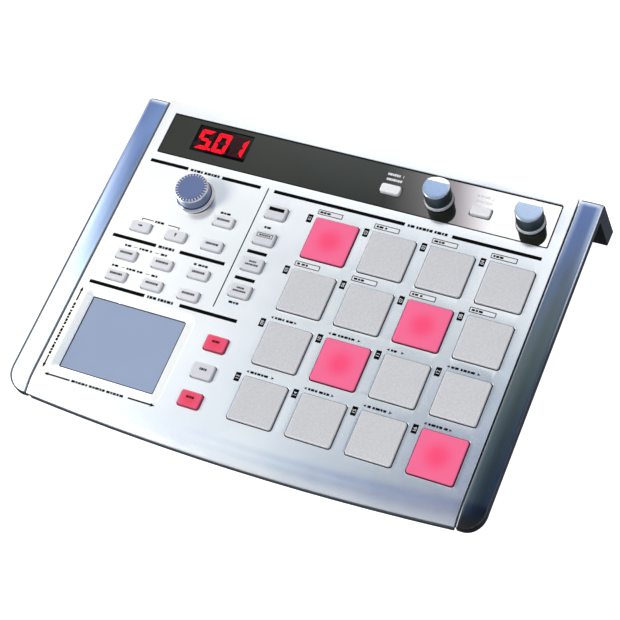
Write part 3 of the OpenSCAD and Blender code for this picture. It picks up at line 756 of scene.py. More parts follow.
def rail(side, name):
    b = Build()
    stations = []
    cv, cu, rc = -FRONT_V + 6.3 + 12.0, RAIL_OUT - 12.0, 12.0
    for phi in (90, 90, 84, 76, 67, 58, 48, 38, 28, 18, 9, 0):
        a = math.radians(phi)
        v = cv - rc * math.sin(a)
        stations.append(((v, rail_top(v)), (v, rail_bottom(v)), cu + rc * math.cos(a)))
    for v in [-79.9, -78.6, -77.3, -73, -66, -55, -40, -20, 0, 20, 40, 60, 80, 96, 106, 112]:
        stations.append(((v, rail_top(v)), (v, rail_bottom(v)), RAIL_OUT))
    cr = 5.0
    ic = (REAR_V + RAIL_T * math.tan(LEG_LEAN) - LEG_T, -RAIL_T)
    leg_dir = Vector((60 * math.tan(LEG_LEAN), -60.0 + RAIL_T)) - Vector((0, 0))
    leg_dir = Vector((REAR_V + 60 * math.tan(LEG_LEAN) - LEG_T - ic[0], -60 + RAIL_T)).normalized()
    stations.append(((118.5, 0.0), (ic[0] - 4.0, -RAIL_T), RAIL_OUT))
    for i in range(9):
        a = math.radians(90 - (90 - math.degrees(LEG_LEAN)) * i / 8)
        outer = (REAR_V - cr + cr * math.cos(a), -cr + cr * math.sin(a))
        f = i / 8.0
        # fillet of the inner corner
        p0, p1, p2 = Vector((ic[0] - 2.2, -RAIL_T)), Vector(ic), Vector(ic) + leg_dir * 2.2
        q = p0 * (1 - f) ** 2 + p1 * (2 * f * (1 - f)) + p2 * f * f
        stations.append((outer, (q.x, q.y), RAIL_OUT))
    o0 = Vector((REAR_V - cr + cr * math.cos(LEG_LEAN), -cr + cr * math.sin(LEG_LEAN)))
    o1 = Vector((REAR_V + 60 * math.tan(LEG_LEAN), -60.0))
    i0 = Vector(ic) + leg_dir * 2.2
    i1 = Vector((REAR_V + 60 * math.tan(LEG_LEAN) - LEG_T, -60.0))

    def at_floor(p, q, z):
        zp = PANEL_Z + p.x * math.sin(TILT) + p.y * math.cos(TILT)
        zq = PANEL_Z + q.x * math.sin(TILT) + q.y * math.cos(TILT)
        return p.lerp(q, (z - zp) / (zq - zp))
    oe, ie = at_floor(o0, o1, 1.5), at_floor(i0, i1, 1.5)
    for f in (0.15, 0.35, 0.55, 0.75, 0.92, 0.985):
        o, i = o0.lerp(oe, f), i0.lerp(ie, f)
        stations.append(((o.x, o.y), (i.x, i.y), RAIL_OUT))
    stations.append(((oe.x, oe.y), (ie.x, ie.y), RAIL_OUT))
    rings = []
    last = len(stations) - 1
    for k, (o, i, u1) in enumerate(stations):
        h = math.hypot(o[0] - i[0], o[1] - i[1])
        inset = 0.55 if k == 0 else (0.5 if k == last else (0.0 if k != 1 else 0.15))
        sec, _ = rail_section(RAIL_IN, u1, h, inset)
        shift = 0.0
        if k == 1:
            shift = 0.12
        elif k == 2:
            shift = 0.0
        rings.append([(side * x, i[0] + (o[0] - i[0]) * t + shift, i[1] + (o[1] - i[1]) * t) for x, t in sec])
    b.loft(rings)
    # painted highlight on the rounded top edges; painted shade on the outer side, the underside, the left rail's inner
    # edge and a line along its outer edge
    per = len(rings[0])
    for f in range((len(rings) - 1) * per):
        at = f % per
        if side < 0 and 12 <= at <= 13:
            b.m[f] = 5
        elif 10 <= at <= 12:
            b.m[f] = 1
        elif 29 <= at <= 34:
            b.m[f] = 4
        elif at <= 4 or at >= 36:
            b.m[f] = 2
        elif 5 <= at <= 9:
            b.m[f] = 3
    # web that is screwed to the side of the case
    pts = [(-66.0, -15.0), (116.0, -15.0), (116.0, -5.9), (-66.0, -5.9)]
    cx, cy = 25.0, -10.45
    web = rounded_rect(91.0, 4.55, 1.2, 4)
    levels = [(0.0, 0.35), (0.35, 0.0), (2.85, 0.0), (3.2, 0.35)]
    b.loft([[(side * (RAIL_IN + x), cx + p * (91.0 - ins) / 91.0, cy + q * (4.55 - ins) / 4.55) for p, q in web] for x, ins in levels])
    return make(name + "_bar", b.v, b.f, [M["rail_right" if side > 0 else "rail"], M["rail_edge"], M["rail_under"], M["rail_side"], M["rail_edge_in" if side > 0 else "rail_inner_painted_shade"]] + ([M["rail_line"]] if side < 0 else []), "case", replaces=[name], slot="rail_metal",
                sharp=42.0, weighted=True, face_mats=b.m, baked=True)


rail_right = rail(1, "side_rail_right")
rail_left = rail(-1, "side_rail_left")


# ---------------------------------------------------------------- pads and buttons
def cushion_rings(hw, hv, r, top, edge_r, crown, flange, flange_n, foot_n, k=7):
    """Rings of a moulded key: flange, skirt with draft, rounded upper edge and crowned top."""
    rings = []

    def dome(x, y):
        return top - crown * 0.5 * ((x / hw) ** 2 + (y / hv) ** 2)

    def add(ins, drop):
        pts = rounded_rect(hw - ins, hv - ins, max(0.12, r - ins * 0.8), k)
        rings.append([(x, y, dome(x, y) - drop) for x, y in pts])
    fl = flange
    rings.append([(x, y, foot_n) for x, y in rounded_rect(hw + fl - 0.3, hv + fl - 0.3, r + fl - 0.3, k)])
    rings.append([(x, y, foot_n + 0.25) for x, y in rounded_rect(hw + fl, hv + fl, r + fl, k)])
    rings.append([(x, y, flange_n - 0.2) for x, y in rounded_rect(hw + fl, hv + fl, r + fl, k)])
    rings.append([(x, y, flange_n) for x, y in rounded_rect(hw + fl - 0.25, hv + fl - 0.25, r + fl - 0.25, k)])
    rings.append([(x, y, flange_n + 0.02) for x, y in rounded_rect(hw, hv, r, k)])
    rings.append([(x, y, -0.3) for x, y in rounded_rect(hw, hv, r, k)])
    for i in range(7):
        a = math.radians(90 * i / 6)
        add(0.1 + edge_r * (1 - math.cos(a)), edge_r * (1 - math.sin(a)))
    start = 0.1 + edge_r
    for f in (0.08, 0.2, 0.35, 0.5, 0.65, 0.8, 0.92):
        x_in, y_in = (hw - start) * (1 - f), (hv - start) * (1 - f)
        pts = rounded_rect(x_in, y_in, max(0.12, (r - start * 0.8) * (1 - f)), k)
        rings.append([(x, y, dome(x, y)) for x, y in pts])
    return rings


def key(name, u, v, hw, hv, r, top, edge_r, crown, flange, flange_n, foot_n, mat, slot, rim=None):
    b = Build()
    rings = cushion_rings(hw, hv, r, top, edge_r, crown, flange, flange_n, foot_n)
    ids = [b.ring(x) for x in rings]
    for k in range(len(ids) - 1):
        # the rounded upper edge takes the rim material, a painted highlight
        b.bridge(ids[k], ids[k + 1], 1 if rim and 8 <= k <= 11 else 0)
    b.face(ids[0][::-1])
    b.face(ids[-1])
    return make(name + "_key", b.v, b.f, [mat, rim] if rim else mat, name, replaces=[name], slot=slot,
                matrix=PANEL @ Matrix.Translation((u * MM, v * MM, 0)), sharp=50.0, weighted=False, face_mats=b.m)


for i in range(16):
    name = f"pad_{i + 1:02d}"
    lit = name in LIT_PADS
    u, v = pad_at(i)
    key(name, u, v, PAD_SIDE / 2, PAD_SIDE / 2, 1.5, PAD_H, 0.42, 0.12, 1.7, -PLATE_T - 0.6, -4.9,
        M["pad_lit"] if lit else M["pad"], "pad_lit" if lit else "pad_rubber", None if lit else M["pad_rim"])


def pad_gap_shades():
    """Black rings in the gaps round the pads: painted shade of the gaps."""
    g = Build()
    h = PAD_SIDE / 2
    for i in range(16):
        u, v = pad_at(i)
        loops = [[(u + x, v + y, n) for x, y in rounded_rect(h + d, h + d, 1.5 + d, 5)] for d, n in ((0.06, -0.9), (0.06, -0.16), (0.62, -0.12), (0.62, -0.9))]
        ids = [g.ring(x) for x in loops]
        for k in range(4):
            g.bridge(ids[k], ids[(k + 1) % 4])
    make("pad_gap_shades", g.v, g.f, M["gasket"], "case")


pad_gap_shades()

for name, (u, v, d) in BUTTONS.items():
    lit = name in LIT_BUTTONS
    w = BUTTON_W - (0.6 if name.startswith("assign") else 0.0)
    fl = 1.0 if name.startswith("assign") else 1.3
    # lighter copies of the white for the keys on the left and on the strip: painted light
    white = M["button_strip"] if name.startswith("assign") else M["button"] if name.startswith(("mode", "trigger")) else M["button_panel"]
    key(name, u, v, w / 2, d / 2, 1.6, BUTTON_H, 0.6, 0.16, fl, -PLATE_T - 0.4, -4.4,
        M["button_lit"] if lit else white, "button_lit" if lit else "button_white")


# ---------------------------------------------------------------- display strip
def strip():
    b = Build()
    cv = (STRIP_V0 + STRIP_V1) / 2
    hv = (STRIP_V1 - STRIP_V0) / 2
    win = (39.5 / 2, 20.0 / 2)
    outer = [(x, cv + y) for x, y in rounded_rect(STRIP_W - 0.3, hv - 0.3, 0.6, 3)]
    holes = [[(DISPLAY_AT[0] + x, DISPLAY_AT[1] + y) for x, y in rounded_rect(win[0], win[1], 0.35, 3)]]
    for ku, kv in KNOB_AT:
        holes.append([(ku + 4.2 * math.cos(2 * math.pi * i / 48), kv + 4.2 * math.sin(2 * math.pi * i / 48)) for i in range(48)])
    for nm in ("assign_button_1", "assign_button_2"):
        u, v, d = BUTTONS[nm]
        holes.append([(u + x, v + y) for x, y in rounded_rect((BUTTON_W + 0.2) / 2, (d + 0.8) / 2, 1.7, 5)])

    def grow(ring, c, d):
        out = []
        n = len(ring)
        for i in range(n):
            p, a, q = Vector(ring[i - 1]), Vector(ring[i]), Vector(ring[(i + 1) % n])
            e1, e2 = (a - p), (q - a)
            if e1.length < 1e-9 or e2.length < 1e-9:
                out.append((a.x, a.y))
                continue
            n1, n2 = Vector((e1.y, -e1.x)).normalized(), Vector((e2.y, -e2.x)).normalized()
            m = (n1 + n2)
            m = m.normalized() * (d / max(0.35, m.normalized().dot(n1)))
            out.append((a.x + m.x, a.y + m.y))
        return out
    top_n, low_n, ch = -0.1, -1.85, 0.18
    pts, cons, starts = [], [], []
    loops = [grow(outer, None, -ch)] + [grow(h, None, ch) for h in holes]
    walls = [outer] + holes
    for lp in loops:
        s = len(pts)
        pts += lp
        cons += [(s + i, s + (i + 1) % len(lp)) for i in range(len(lp))]
        starts.append((s, len(lp)))
    for gu in range(-128, 129, 16):
        for gv in (94, 118):
            p = (gu + 0.01, gv + 0.01)
            if not any(inside(p, grow(h, None, 1.0)) for h in holes):
                pts.append(p)
    res = delaunay_2d_cdt([Vector(p) for p in pts], cons, [], 1, 1e-6, True)
    out_v, tris, orig = res[0], res[2], res[3]
    top = b.ring([(p.x, p.y, top_n) for p in out_v])
    by_src = {q: top[i] for i in range(len(out_v)) for q in orig[i]}
    hp = loops[1:]
    keep = []
    for t in tris:
        c = (sum(out_v[i].x for i in t) / 3, sum(out_v[i].y for i in t) / 3)
        if not any(inside(c, h) for h in hp):
            keep.append(t)
            b.face([top[i] for i in t])
    under = {}
    for (s, c), wall in zip(starts, walls):
        r0 = [by_src[s + i] for i in range(c)]
        r1 = b.ring([(x, y, top_n - ch) for x, y in wall])
        r2 = b.ring([(x, y, low_n) for x, y in wall])
        b.bridge(r0, r1)
        b.bridge(r1, r2)
        for i in range(c):
            under[r0[i]] = r2[i]
    for t in keep:
        idx = []
        for i in t:
            vi = top[i]
            if vi not in under:
                under[vi] = b.ring([(out_v[i].x, out_v[i].y, low_n)])[0]
            idx.append(under[vi])
        b.face(idx[::-1])
    ob = make("display_strip_plate", b.v, b.f, M["strip"], "case", replaces=["display_strip"], slot="strip_gloss", sharp=30.0, weighted=True)
    # black frame round the strip, wider at the rear: painted shade of the recess gap
    g = Build()
    inner = rounded_rect(STRIP_W - 0.55, hv - 0.8, 0.4, 3)
    inner = [(x, cv - 0.25 + y) for x, y in inner]
    outer2 = [(x, cv + y) for x, y in rounded_rect(STRIP_W + 0.02, hv + 0.02, 0.8, 3)]
    g_in = g.ring([(x, y, -0.06) for x, y in inner])
    g_mid = g.ring([((x + p) / 2, (y + q) / 2, -0.04) for (x, y), (p, q) in zip(inner, outer2)])
    g_out = g.ring([(x, y, -0.12) for x, y in outer2])
    g_out2 = g.ring([(x, y, -1.6) for x, y in outer2])
    g_in2 = g.ring([(x, y, -0.14) for x, y in inner])
    g.bridge(g_in, g_mid)
    g.bridge(g_mid, g_out)
    g.bridge(g_out, g_out2)
    g.bridge(g_out2, g_in2)
    g.bridge(g_in2, g_in)
    gasket = make("strip_gasket", g.v, g.f, M["gasket"], "case")
    return ob


strip_obj = strip()

# segment display: dark face with slanted digits just below the window
DIGITS = ("acdfg", "abcdef", "bc")


def display():
    b = Build()
    w, h = 37.6 / 2, 19.0 / 2
    rings = []
    for ins, n in ((0.4, -7.4), (0.0, -7.1), (0.0, -2.25), (0.25, -1.97)):
        rings.append([(DISPLAY_AT[0] + x, DISPLAY_AT[1] + y, n) for x, y in rounded_rect(w - ins, h - ins, 0.6, 3)])
    b.loft(rings)
    make("led_display_body", b.v, b.f, M["led_face"], "case", replaces=["led_display"], slot="led_red", sharp=30.0)
    on, off = Build(), Build()
    slant = math.tan(math.radians(4))
    x, y, t, g = 3.45, 6.1, 1.4, 0.38
    upper = [(-x - t, y + t - g), (-x + t, y - t - g), (-x + t, t * 0.8 + g), (-x, g * 0.6), (-x - t, g * 0.6)]
    seg = {"a": [(-x - t + g, y + t), (x + t - g, y + t), (x - t - g, y - t), (-x + t + g, y - t)],
           "f": upper, "b": [(-p, q) for p, q in upper], "e": [(p, -q) for p, q in upper], "c": [(-p, -q) for p, q in upper],
           "g": [(-x + g, 0.0), (-x + t + g, t * 0.8), (x - t - g, t * 0.8), (x - g, 0.0), (x - t - g, -t * 0.8), (-x + t + g, -t * 0.8)]}
    seg["d"] = [(p, -q) for p, q in seg["a"]]
    for d in range(3):
        cx = DISPLAY_AT[0] + (d - 1) * 12.3 - 0.2
        cy = DISPLAY_AT[1] - 0.1
        for s, pts in seg.items():
            (on if s in DIGITS[d] else off).poly([(cx + p + q * slant, cy + q) for p, q in pts], -0.62, -0.56)
        c = (cx + x + 2.6 - y * slant, cy - y - 0.4)
        dot = [(c[0] + 0.95 * math.cos(2 * math.pi * i / 20), c[1] + 0.95 * math.sin(2 * math.pi * i / 20)) for i in range(20)]
        (on if d == 0 else off).poly(dot, -0.62, -0.56)
    lit = make("led_segments_on", on.v, on.f, M["digit_on"], "case", slot="led_red")
    lit.visible_glossy = lit.visible_diffuse = False
    make("led_segments_off", off.v, off.f, M["digit_off"], "case", slot="led_red")


display()


def window_plate():
    """Dark filter that fills the window of the strip, with the segments shining through."""
    b = Build()
    rings = []
    for ins, n in ((0.12, -1.8), (0.03, -1.72), (0.03, -0.72), (0.2, -0.6)):
        rings.append([(DISPLAY_AT[0] + x, DISPLAY_AT[1] + y, n) for x, y in rounded_rect(19.75 - ins, 10.0 - ins, 0.35, 3)])
    b.loft(rings)
    make("display_window", b.v, b.f, M["window"], "case", slot="strip_gloss", sharp=30.0)


window_plate()


# ---------------------------------------------------------------- touch pad
def touch_pad():
    b = Build()
    rings = []
    hw, hv = XY_SIZE[0] / 2, XY_SIZE[1] / 2
    for ins, n in ((0.3, -2.18), (0.0, -2.0), (0.0, -1.36), (0.06, -1.27), (0.2, -1.2), (1.2, -1.2), (8.0, -1.2)):
        rings.append([(XY_C[0] + x, XY_C[1] + y, n) for x, y in rounded_rect(hw - ins, hv - ins, max(0.2, 0.6 - ins), 4)])
    b.loft(rings)
    make("touch_plate", b.v, b.f, M["touch"], "case", replaces=["xy_touch_pad"], slot="touch_blue", weighted=True)
    # dark seal line round the plate
    g = Build()
    o = rounded_rect(hw + 0.08, hv + 0.08, 0.65, 4)
    i = rounded_rect(hw - 0.42, hv - 0.42, 0.3, 4)
    loops = [[(XY_C[0] + x, XY_C[1] + y, n) for x, y in pts] for pts, n in ((i, -1.21), (i, -1.165), (o, -1.15), (o, -1.5))]
    ids = [g.ring(x) for x in loops]
    for k in range(3):
        g.bridge(ids[k], ids[k + 1])
    g.bridge(ids[3], ids[0])
    make("touch_seal", g.v, g.f, M["gasket"], "case")


touch_pad()


# ---------------------------------------------------------------- knobs
def lathe(profile, seg, mats, tweak=None):
    """Profile of (radius, n); starts and ends on the axis. mats gives the material of each step."""
    b = Build()
    rings = []
    for k, (r, n) in enumerate(profile):
        ring = []
        for j in range(seg):
            a = 2 * math.pi * j / seg
            rr, nn = (r, n) if tweak is None else tweak(k, j, r, n)
            ring.append((rr * math.cos(a), rr * math.sin(a), nn))
        rings.append(ring)
    ids = [b.ring(x) for x in rings]
    for k in range(len(ids) - 1):
        b.bridge(ids[k], ids[k + 1], mats[k])
    b.face(ids[0][::-1], mats[0])
    b.face(ids[-1], mats[-1])
    return b


def strip_knob(idx):
    ku, kv = KNOB_AT[idx]
    prof = [(3.2, 0.62), (8.9, 0.62), (9.35, 0.7), (9.5, 0.9), (9.5, 1.15), (9.44, 1.5), (9.28, 2.1), (9.08, 2.8), (8.92, 3.3), (8.84, 3.5),
            (8.76, 3.62), (8.72, 6.0), (8.68, 9.0), (8.64, 12.0), (8.61, 14.35), (8.58, 14.55), (8.5, 14.76), (8.36, 14.94), (8.22, 15.05), (8.12, 15.08),
            (8.0, 15.1), (6.0, 15.1), (4.0, 15.11), (1.0, 15.12)]
    #       0 side, 1 bright, 2 cap, 3 ring
    mats = [0, 1, 1, 1, 1, 3, 3, 3, 3, 3, 0, 0, 0, 0, 0, 1, 1, 1, 1, 2, 2, 2, 2]
    b = lathe(prof, 112, mats)
    me = bpy.data.meshes.new("knob")
    me.from_pydata([(x * MM, y * MM, z * MM) for x, y, z in b.v], [], b.f)
    bm = bmesh.new()
    bm.from_mesh(me)
    for f, k in zip(bm.faces, b.m):
        f.material_index = k
    # the sloped pointer facet on the far side
    res = bmesh.ops.bisect_plane(bm, geom=bm.verts[:] + bm.edges[:] + bm.faces[:], dist=1e-7,
                                 plane_co=Vector((0, 3.7, 15.2)) * MM, plane_no=Vector((0, math.sin(math.radians(27)), math.cos(math.radians(27)))),
                                 clear_outer=True, clear_inner=False)
    cut = [e for e in res["geom_cut"] if isinstance(e, bmesh.types.BMEdge)]
    filled = bmesh.ops.edgeloop_fill(bm, edges=cut, mat_nr=1)
    bmesh.ops.recalc_face_normals(bm, faces=bm.faces)
    bm.to_mesh(me)
    bm.free()
    name = f"knob_{idx + 1}"
    # the second knob takes the paler cap colour, a painted highlight
    for m in ("knob_side", "bright", ("knob_cap", "knob_cap_2")[idx], "knob_ring"):
        me.materials.append(M[m])
    me.polygons.foreach_set("use_smooth", [True] * len(me.polygons))
    me.set_sharp_from_angle(angle=math.radians(20))
    ob = bpy.data.objects.new(name + "_turned", me)
    scene.collection.objects.link(ob)
    settle(me, PANEL @ Matrix.Translation((ku * MM, kv * MM, 0)))
    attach(ob, name)
    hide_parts(name)
    return ob


knob_objs = [strip_knob(0), strip_knob(1)]


def encoder():
    prof = [(3.2, 0.82), (12.4, 0.82), (12.85, 0.95), (13.0, 1.2), (13.0, 1.5), (12.86, 1.85), (12.5, 2.35), (12.05, 2.8), (11.75, 3.05),
            (11.55, 3.2), (11.3, 3.35), (11.12, 3.7), (11.05, 5.0), (11.0, 7.0), (10.95, 9.0), (10.92, 10.0),
            (10.9, 10.25), (10.82, 10.6), (10.6, 11.0), (10.38, 11.2),
            (10.25, 11.28), (10.2, 11.3), (8.6, 11.34), (8.5, 11.38), (6.0, 11.39), (3.0, 11.4), (0.8, 11.4)]
    #             0 cap, 1 bright, 2 side, 3 groove in painted shade
    mats = [1, 1, 1, 1, 1, 1, 1, 1, 3, 3, 3, 2, 2, 2, 2, 1, 1, 1, 1, 1, 0, 0, 0, 0, 0, 0]
    slots, per = 30, 12

    def tweak(k, j, r, n):
        # shallow notches between the white index lines on the edge of the cap
        if 20 <= k <= 22 and (j % per) in (1, 2, 3, 4, 5, 6, 7):
            return r, n - 0.25
        return r, n
    b = lathe(prof, slots * per, mats, tweak)
    seg = slots * per
    for k in (19, 20, 21, 22):
        for j in range(seg):
            if (j % per) in (0, 1, 2, 3, 4, 5, 6, 7, 8):
                b.m[k * seg + j] = 5
            elif k in (20, 21):
                b.m[k * seg + j] = 4
    return make("encoder_turned", b.v, b.f, [M["enc_cap"], M["bright"], M["enc_side"], M["enc_slot"], M["tooth"], M["enc_notch"]], "encoder", replaces=["encoder_knob"], slot="encoder_silver",
                matrix=PANEL @ Matrix.Translation((ENCODER_AT[0] * MM, ENCODER_AT[1] * MM, 0)), face_mats=b.m, sharp=32.0)


encoder()


# ---------------------------------------------------------------- printed marks
INK0, INK1 = -0.02, 0.035


def printed():
    k = Build()
    bar = 1.2
    for u0, u1, v in ((-135.6, -107.9, 83.6), (-82.9, -55.2, 83.2), (-45.5, 44.6, 82.9), (76.1, 133.8, 82.5),
                      (-135.8, -104.2, 24.7), (-87.1, -55.2, 24.7), (-135.7, -96.0, -10.7), (-71.1, -31.0, -10.5)):
        k.plate(u0, u1, v - bar, v + bar, INK0, INK1)
    k.plate(-50.25, -49.5, -5.1, 84.2, INK0, INK1)

    def hline(u0, u1, v, w=0.6):
        k.plate(u0, u1, v - w / 2, v + w / 2, INK0, INK1, 0.05)

    def dashes(u0, u1, v, h=1.2, seed=0):
        """A row of short plain bars of mixed length, from u0 to u1."""
        lengths = (2.1, 1.5, 2.6, 1.3, 1.9, 2.3, 1.4)
        x, i = u0, seed
        while x + lengths[i % 7] <= u1 + 0.2:
            k.plate(x, x + lengths[i % 7], v - h / 2, v + h / 2, INK0, INK1, 0.12)
            x += lengths[i % 7] + (1.2 if (i + seed) % 5 == 3 else 0.45)
            i += 1

    def vline(u, v0, v1, w=0.6):
        k.plate(u - w / 2, u + w / 2, v0, v1, INK0, INK1, 0.05)

    def arrow(u, v, du, dv, s=1.15, length=2.9):
        """Solid arrow head with its tip at u, v."""
        tip = Vector((u, v))
        d = Vector((du, dv))
        n = Vector((-dv, du))
        pts = [tip, tip - d * length + n * s, tip - d * length * 0.8, tip - d * length - n * s]
        k.poly([(p.x, p.y) for p in pts], INK0, INK1)

    # bracket over the two buttons under the encoder
    hline(-121.7, -113.4, 41.0)
    vline(-121.5, 39.6, 41.2)
    hline(-102.9, -94.6, 40.8)
    vline(-94.8, 39.3, 41.0)
    # axes of the touch pad
    vline(-137.8, -26.3, -18.0, 1.05)
    vline(-137.8, -73.5, -66.4, 1.05)
    arrow(-137.8, -16.0, 0, 1, 1.3, 3.2)
    arrow(-137.8, -75.5, 0, -1, 1.3, 3.2)
    hline(-133.5, -116.6, -78.6, 1.05)
    hline(-75.4, -58.5, -78.3, 1.05)
    arrow(-135.0, -78.6, -1, 0, 1.3, 3.2)
    arrow(-56.9, -78.3, 1, 0, 1.3, 3.2)
    dashes(-115.4, -76.6, -78.45, 1.6, 2)
    v, i = -65.6, 0
    while v < -27.6:
        step_v = (2.0, 1.5, 2.4, 1.3, 1.8)[i % 5]
        k.plate(-138.6, -137.0, v, v + step_v, INK0, INK1, 0.12)
        v += step_v + (1.1 if i % 5 == 3 else 0.45)
        i += 1
    dashes(-112.4, -103.9, 40.9, 1.6, 3)
    # number boxes and label frames of the pads
    for i in range(16):
        u, v = pad_at(i)
        k.plate(u - 20.85, u - 17.35, v + 9.85, v + 15.85, INK0, INK1, 0.25)
        if i < 8:
            w = 0.5
            u0, u1, v0, v1 = u - 15.65, u + 1.1, v + 17.25, v + 20.85
            o = rounded_rect((u1 - u0) / 2, (v1 - v0) / 2, 0.4, 3)
            n = rounded_rect((u1 - u0) / 2 - w, (v1 - v0) / 2 - w, 0.2, 3)
            c = ((u0 + u1) / 2, (v0 + v1) / 2)
            loops = [[(c[0] + x, c[1] + y, h) for x, y in pts] for pts, h in ((o, INK0), (o, INK1), (n, INK1), (n, INK0))]
            ids = [k.ring(x) for x in loops]
            for a in range(4):
                k.bridge(ids[a], ids[(a + 1) % 4])
        else:
            end = (2.2, 6.0, -4.2, 5.6)[i % 4] if i < 12 else (3.2, 4.2, 3.0, 2.2)[i % 4]
            arrow(u - 15.4, v + 18.0, -1, 0, 0.95, 2.0)
            arrow(u + end, v + 18.0, 1, 0, 0.95, 2.0)
            dashes(u - 12.6, u + end - 2.6, v + 18.0, 1.5, i)
    # bars by the column of mode buttons
    k.plate(-45.0, -31.4, 36.9, 39.2, INK0, INK1, 0.2)
    k.plate(-45.1, -31.4, 17.3, 19.6, INK0, INK1, 0.2)
    # dashes beside the parameter buttons
    for v, u0, u1 in ((19.7, -124.5, -93.0), (4.0, -126.5, -92.5)):
        dashes(u0, u0 + 5.0, v, 1.5, 1)
        hline(u0 + 6.4, u0 + 9.4, v, 0.35)
        dashes(u0 + 10.6, u1 - 10.2, v, 1.5, 3)
        hline(u1 - 9.6, u1 - 6.6, v, 0.35)
        dashes(u1 - 5.4, u1, v, 1.5, 2)
    dashes(-74.5, -63.5, 19.5, 1.5, 4)
    dashes(-73.2, -66.2, 59.0, 1.5, 0)
    dashes(-41.2, -35.8, 56.9, 1.5, 1)
    dashes(-41.8, -34.4, 1.1, 1.5, 2)
    # short bars between the long section bars
    for u0, u1, v, n in ((-106.0, -84.6, 83.4, 0), (46.6, 74.4, 82.7, 1), (-102.4, -88.8, 24.7, 2), (-94.0, -73.0, -10.6, 3)):
        dashes(u0, u1, v, 1.9, n)
    for i in range(8):
        u, v = pad_at(i)
        dashes(u - 14.2, u - 6.2, v + 19.05, 1.4, i)
    make("panel_print", k.v, k.f, M["ink"], "case")
    # white fields inside the label frames
    w = Build()
    for i in range(8):
        u, v = pad_at(i)
        w.plate(u - 15.25, u + 0.7, v + 17.65, v + 20.45, -0.01, 0.018, 0.1)
    make("label_fields", w.v, w.f, M["ink_white"], "case")


printed()


def numeral_mesh(text, size, depth):
    cu = bpy.data.curves.new("numeral", "FONT")
    cu.body = text
    cu.size = size * MM
    cu.align_x, cu.align_y = "CENTER", "CENTER"
    cu.extrude = depth * MM / 2
    cu.resolution_u = 4
    ob = bpy.data.objects.new("numeral", cu)
    scene.collection.objects.link(ob)
    bpy.context.view_layer.update()
    dg = bpy.context.evaluated_depsgraph_get()
    me = bpy.data.meshes.new_from_object(ob.evaluated_get(dg))
    bpy.data.objects.remove(ob)
    bpy.data.curves.remove(cu)
    # centred on its own box, since a font's line box isn't
    co = [v.co.copy() for v in me.vertices]
    lo = Vector((min(c.x for c in co), min(c.y for c in co)))
    hi = Vector((max(c.x for c in co), max(c.y for c in co)))
    return me, (lo + hi) / 2


def numerals():
    bm = bmesh.new()

    def put(text, size, u, v, n, turn=0.0):
        me, mid = numeral_mesh(text, size, 0.03)
        me.transform(Matrix.Translation((u * MM, v * MM, n * MM)) @ Matrix.Rotation(turn, 4, "Z") @ Matrix.Translation((-mid.x, -mid.y, 0)))
        bm.from_mesh(me)
        bpy.data.meshes.remove(me)
    for i in range(16):
        u, v = pad_at(i)
        put(f"{i + 1:02d}", 3.1, u - 19.1, v + 12.85, INK1 + 0.012, math.pi / 2)
    put("1", 2.9, 31.4, 115.0, -0.1 + 0.012)
    put("2", 2.9, 91.6, 114.8, -0.1 + 0.012)
    me = bpy.data.meshes.new("pad_numbers")
    bmesh.ops.recalc_face_normals(bm, faces=bm.faces)
    bm.to_mesh(me)
    bm.free()
    me.materials.clear()
    me.materials.append(M["ink_white"])
    ob = bpy.data.objects.new("pad_numbers", me)
    scene.collection.objects.link(ob)
    ob.matrix_world = PANEL
    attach(ob, "case")


numerals()


def strip_marks():
    k = Build()
    for u, v in ((27.0, 115.0), (87.2, 114.8)):
        for u0, u1, w, seed in ((u - 6.0, u + 2.6, v, 1), (u - 5.6, u + 5.6, v - 3.7, 4)):
            x, i = u0, seed
            while x + 1.0 <= u1:
                n = (1.3, 0.9, 1.5, 0.8, 1.2)[i % 5]
                k.plate(x, min(x + n, u1), w - 0.85, w + 0.85, -0.11, -0.085, 0.08)
                x += n + 0.35
                i += 1
    make("strip_marks", k.v, k.f, M["ink_white"], "case")


strip_marks()


def short_bars(k, u0, u1, v, h, n0, n1, seed=0):
    """A row of short plain bars of mixed length, centred between u0 and u1."""
    lengths = (1.1, 0.8, 1.3, 0.7, 1.0, 1.2, 0.75)
    bars, x, i = [], 0.0, seed
    while x + lengths[i % 7] <= u1 - u0:
        bars.append((x, x + lengths[i % 7]))
        x += lengths[i % 7] + 0.3
        i += 1
    off = u0 + (u1 - u0 - bars[-1][1]) / 2
    for a, z in bars:
        k.plate(off + a, off + z, v - h / 2, v + h / 2, n0, n1, 0.06)


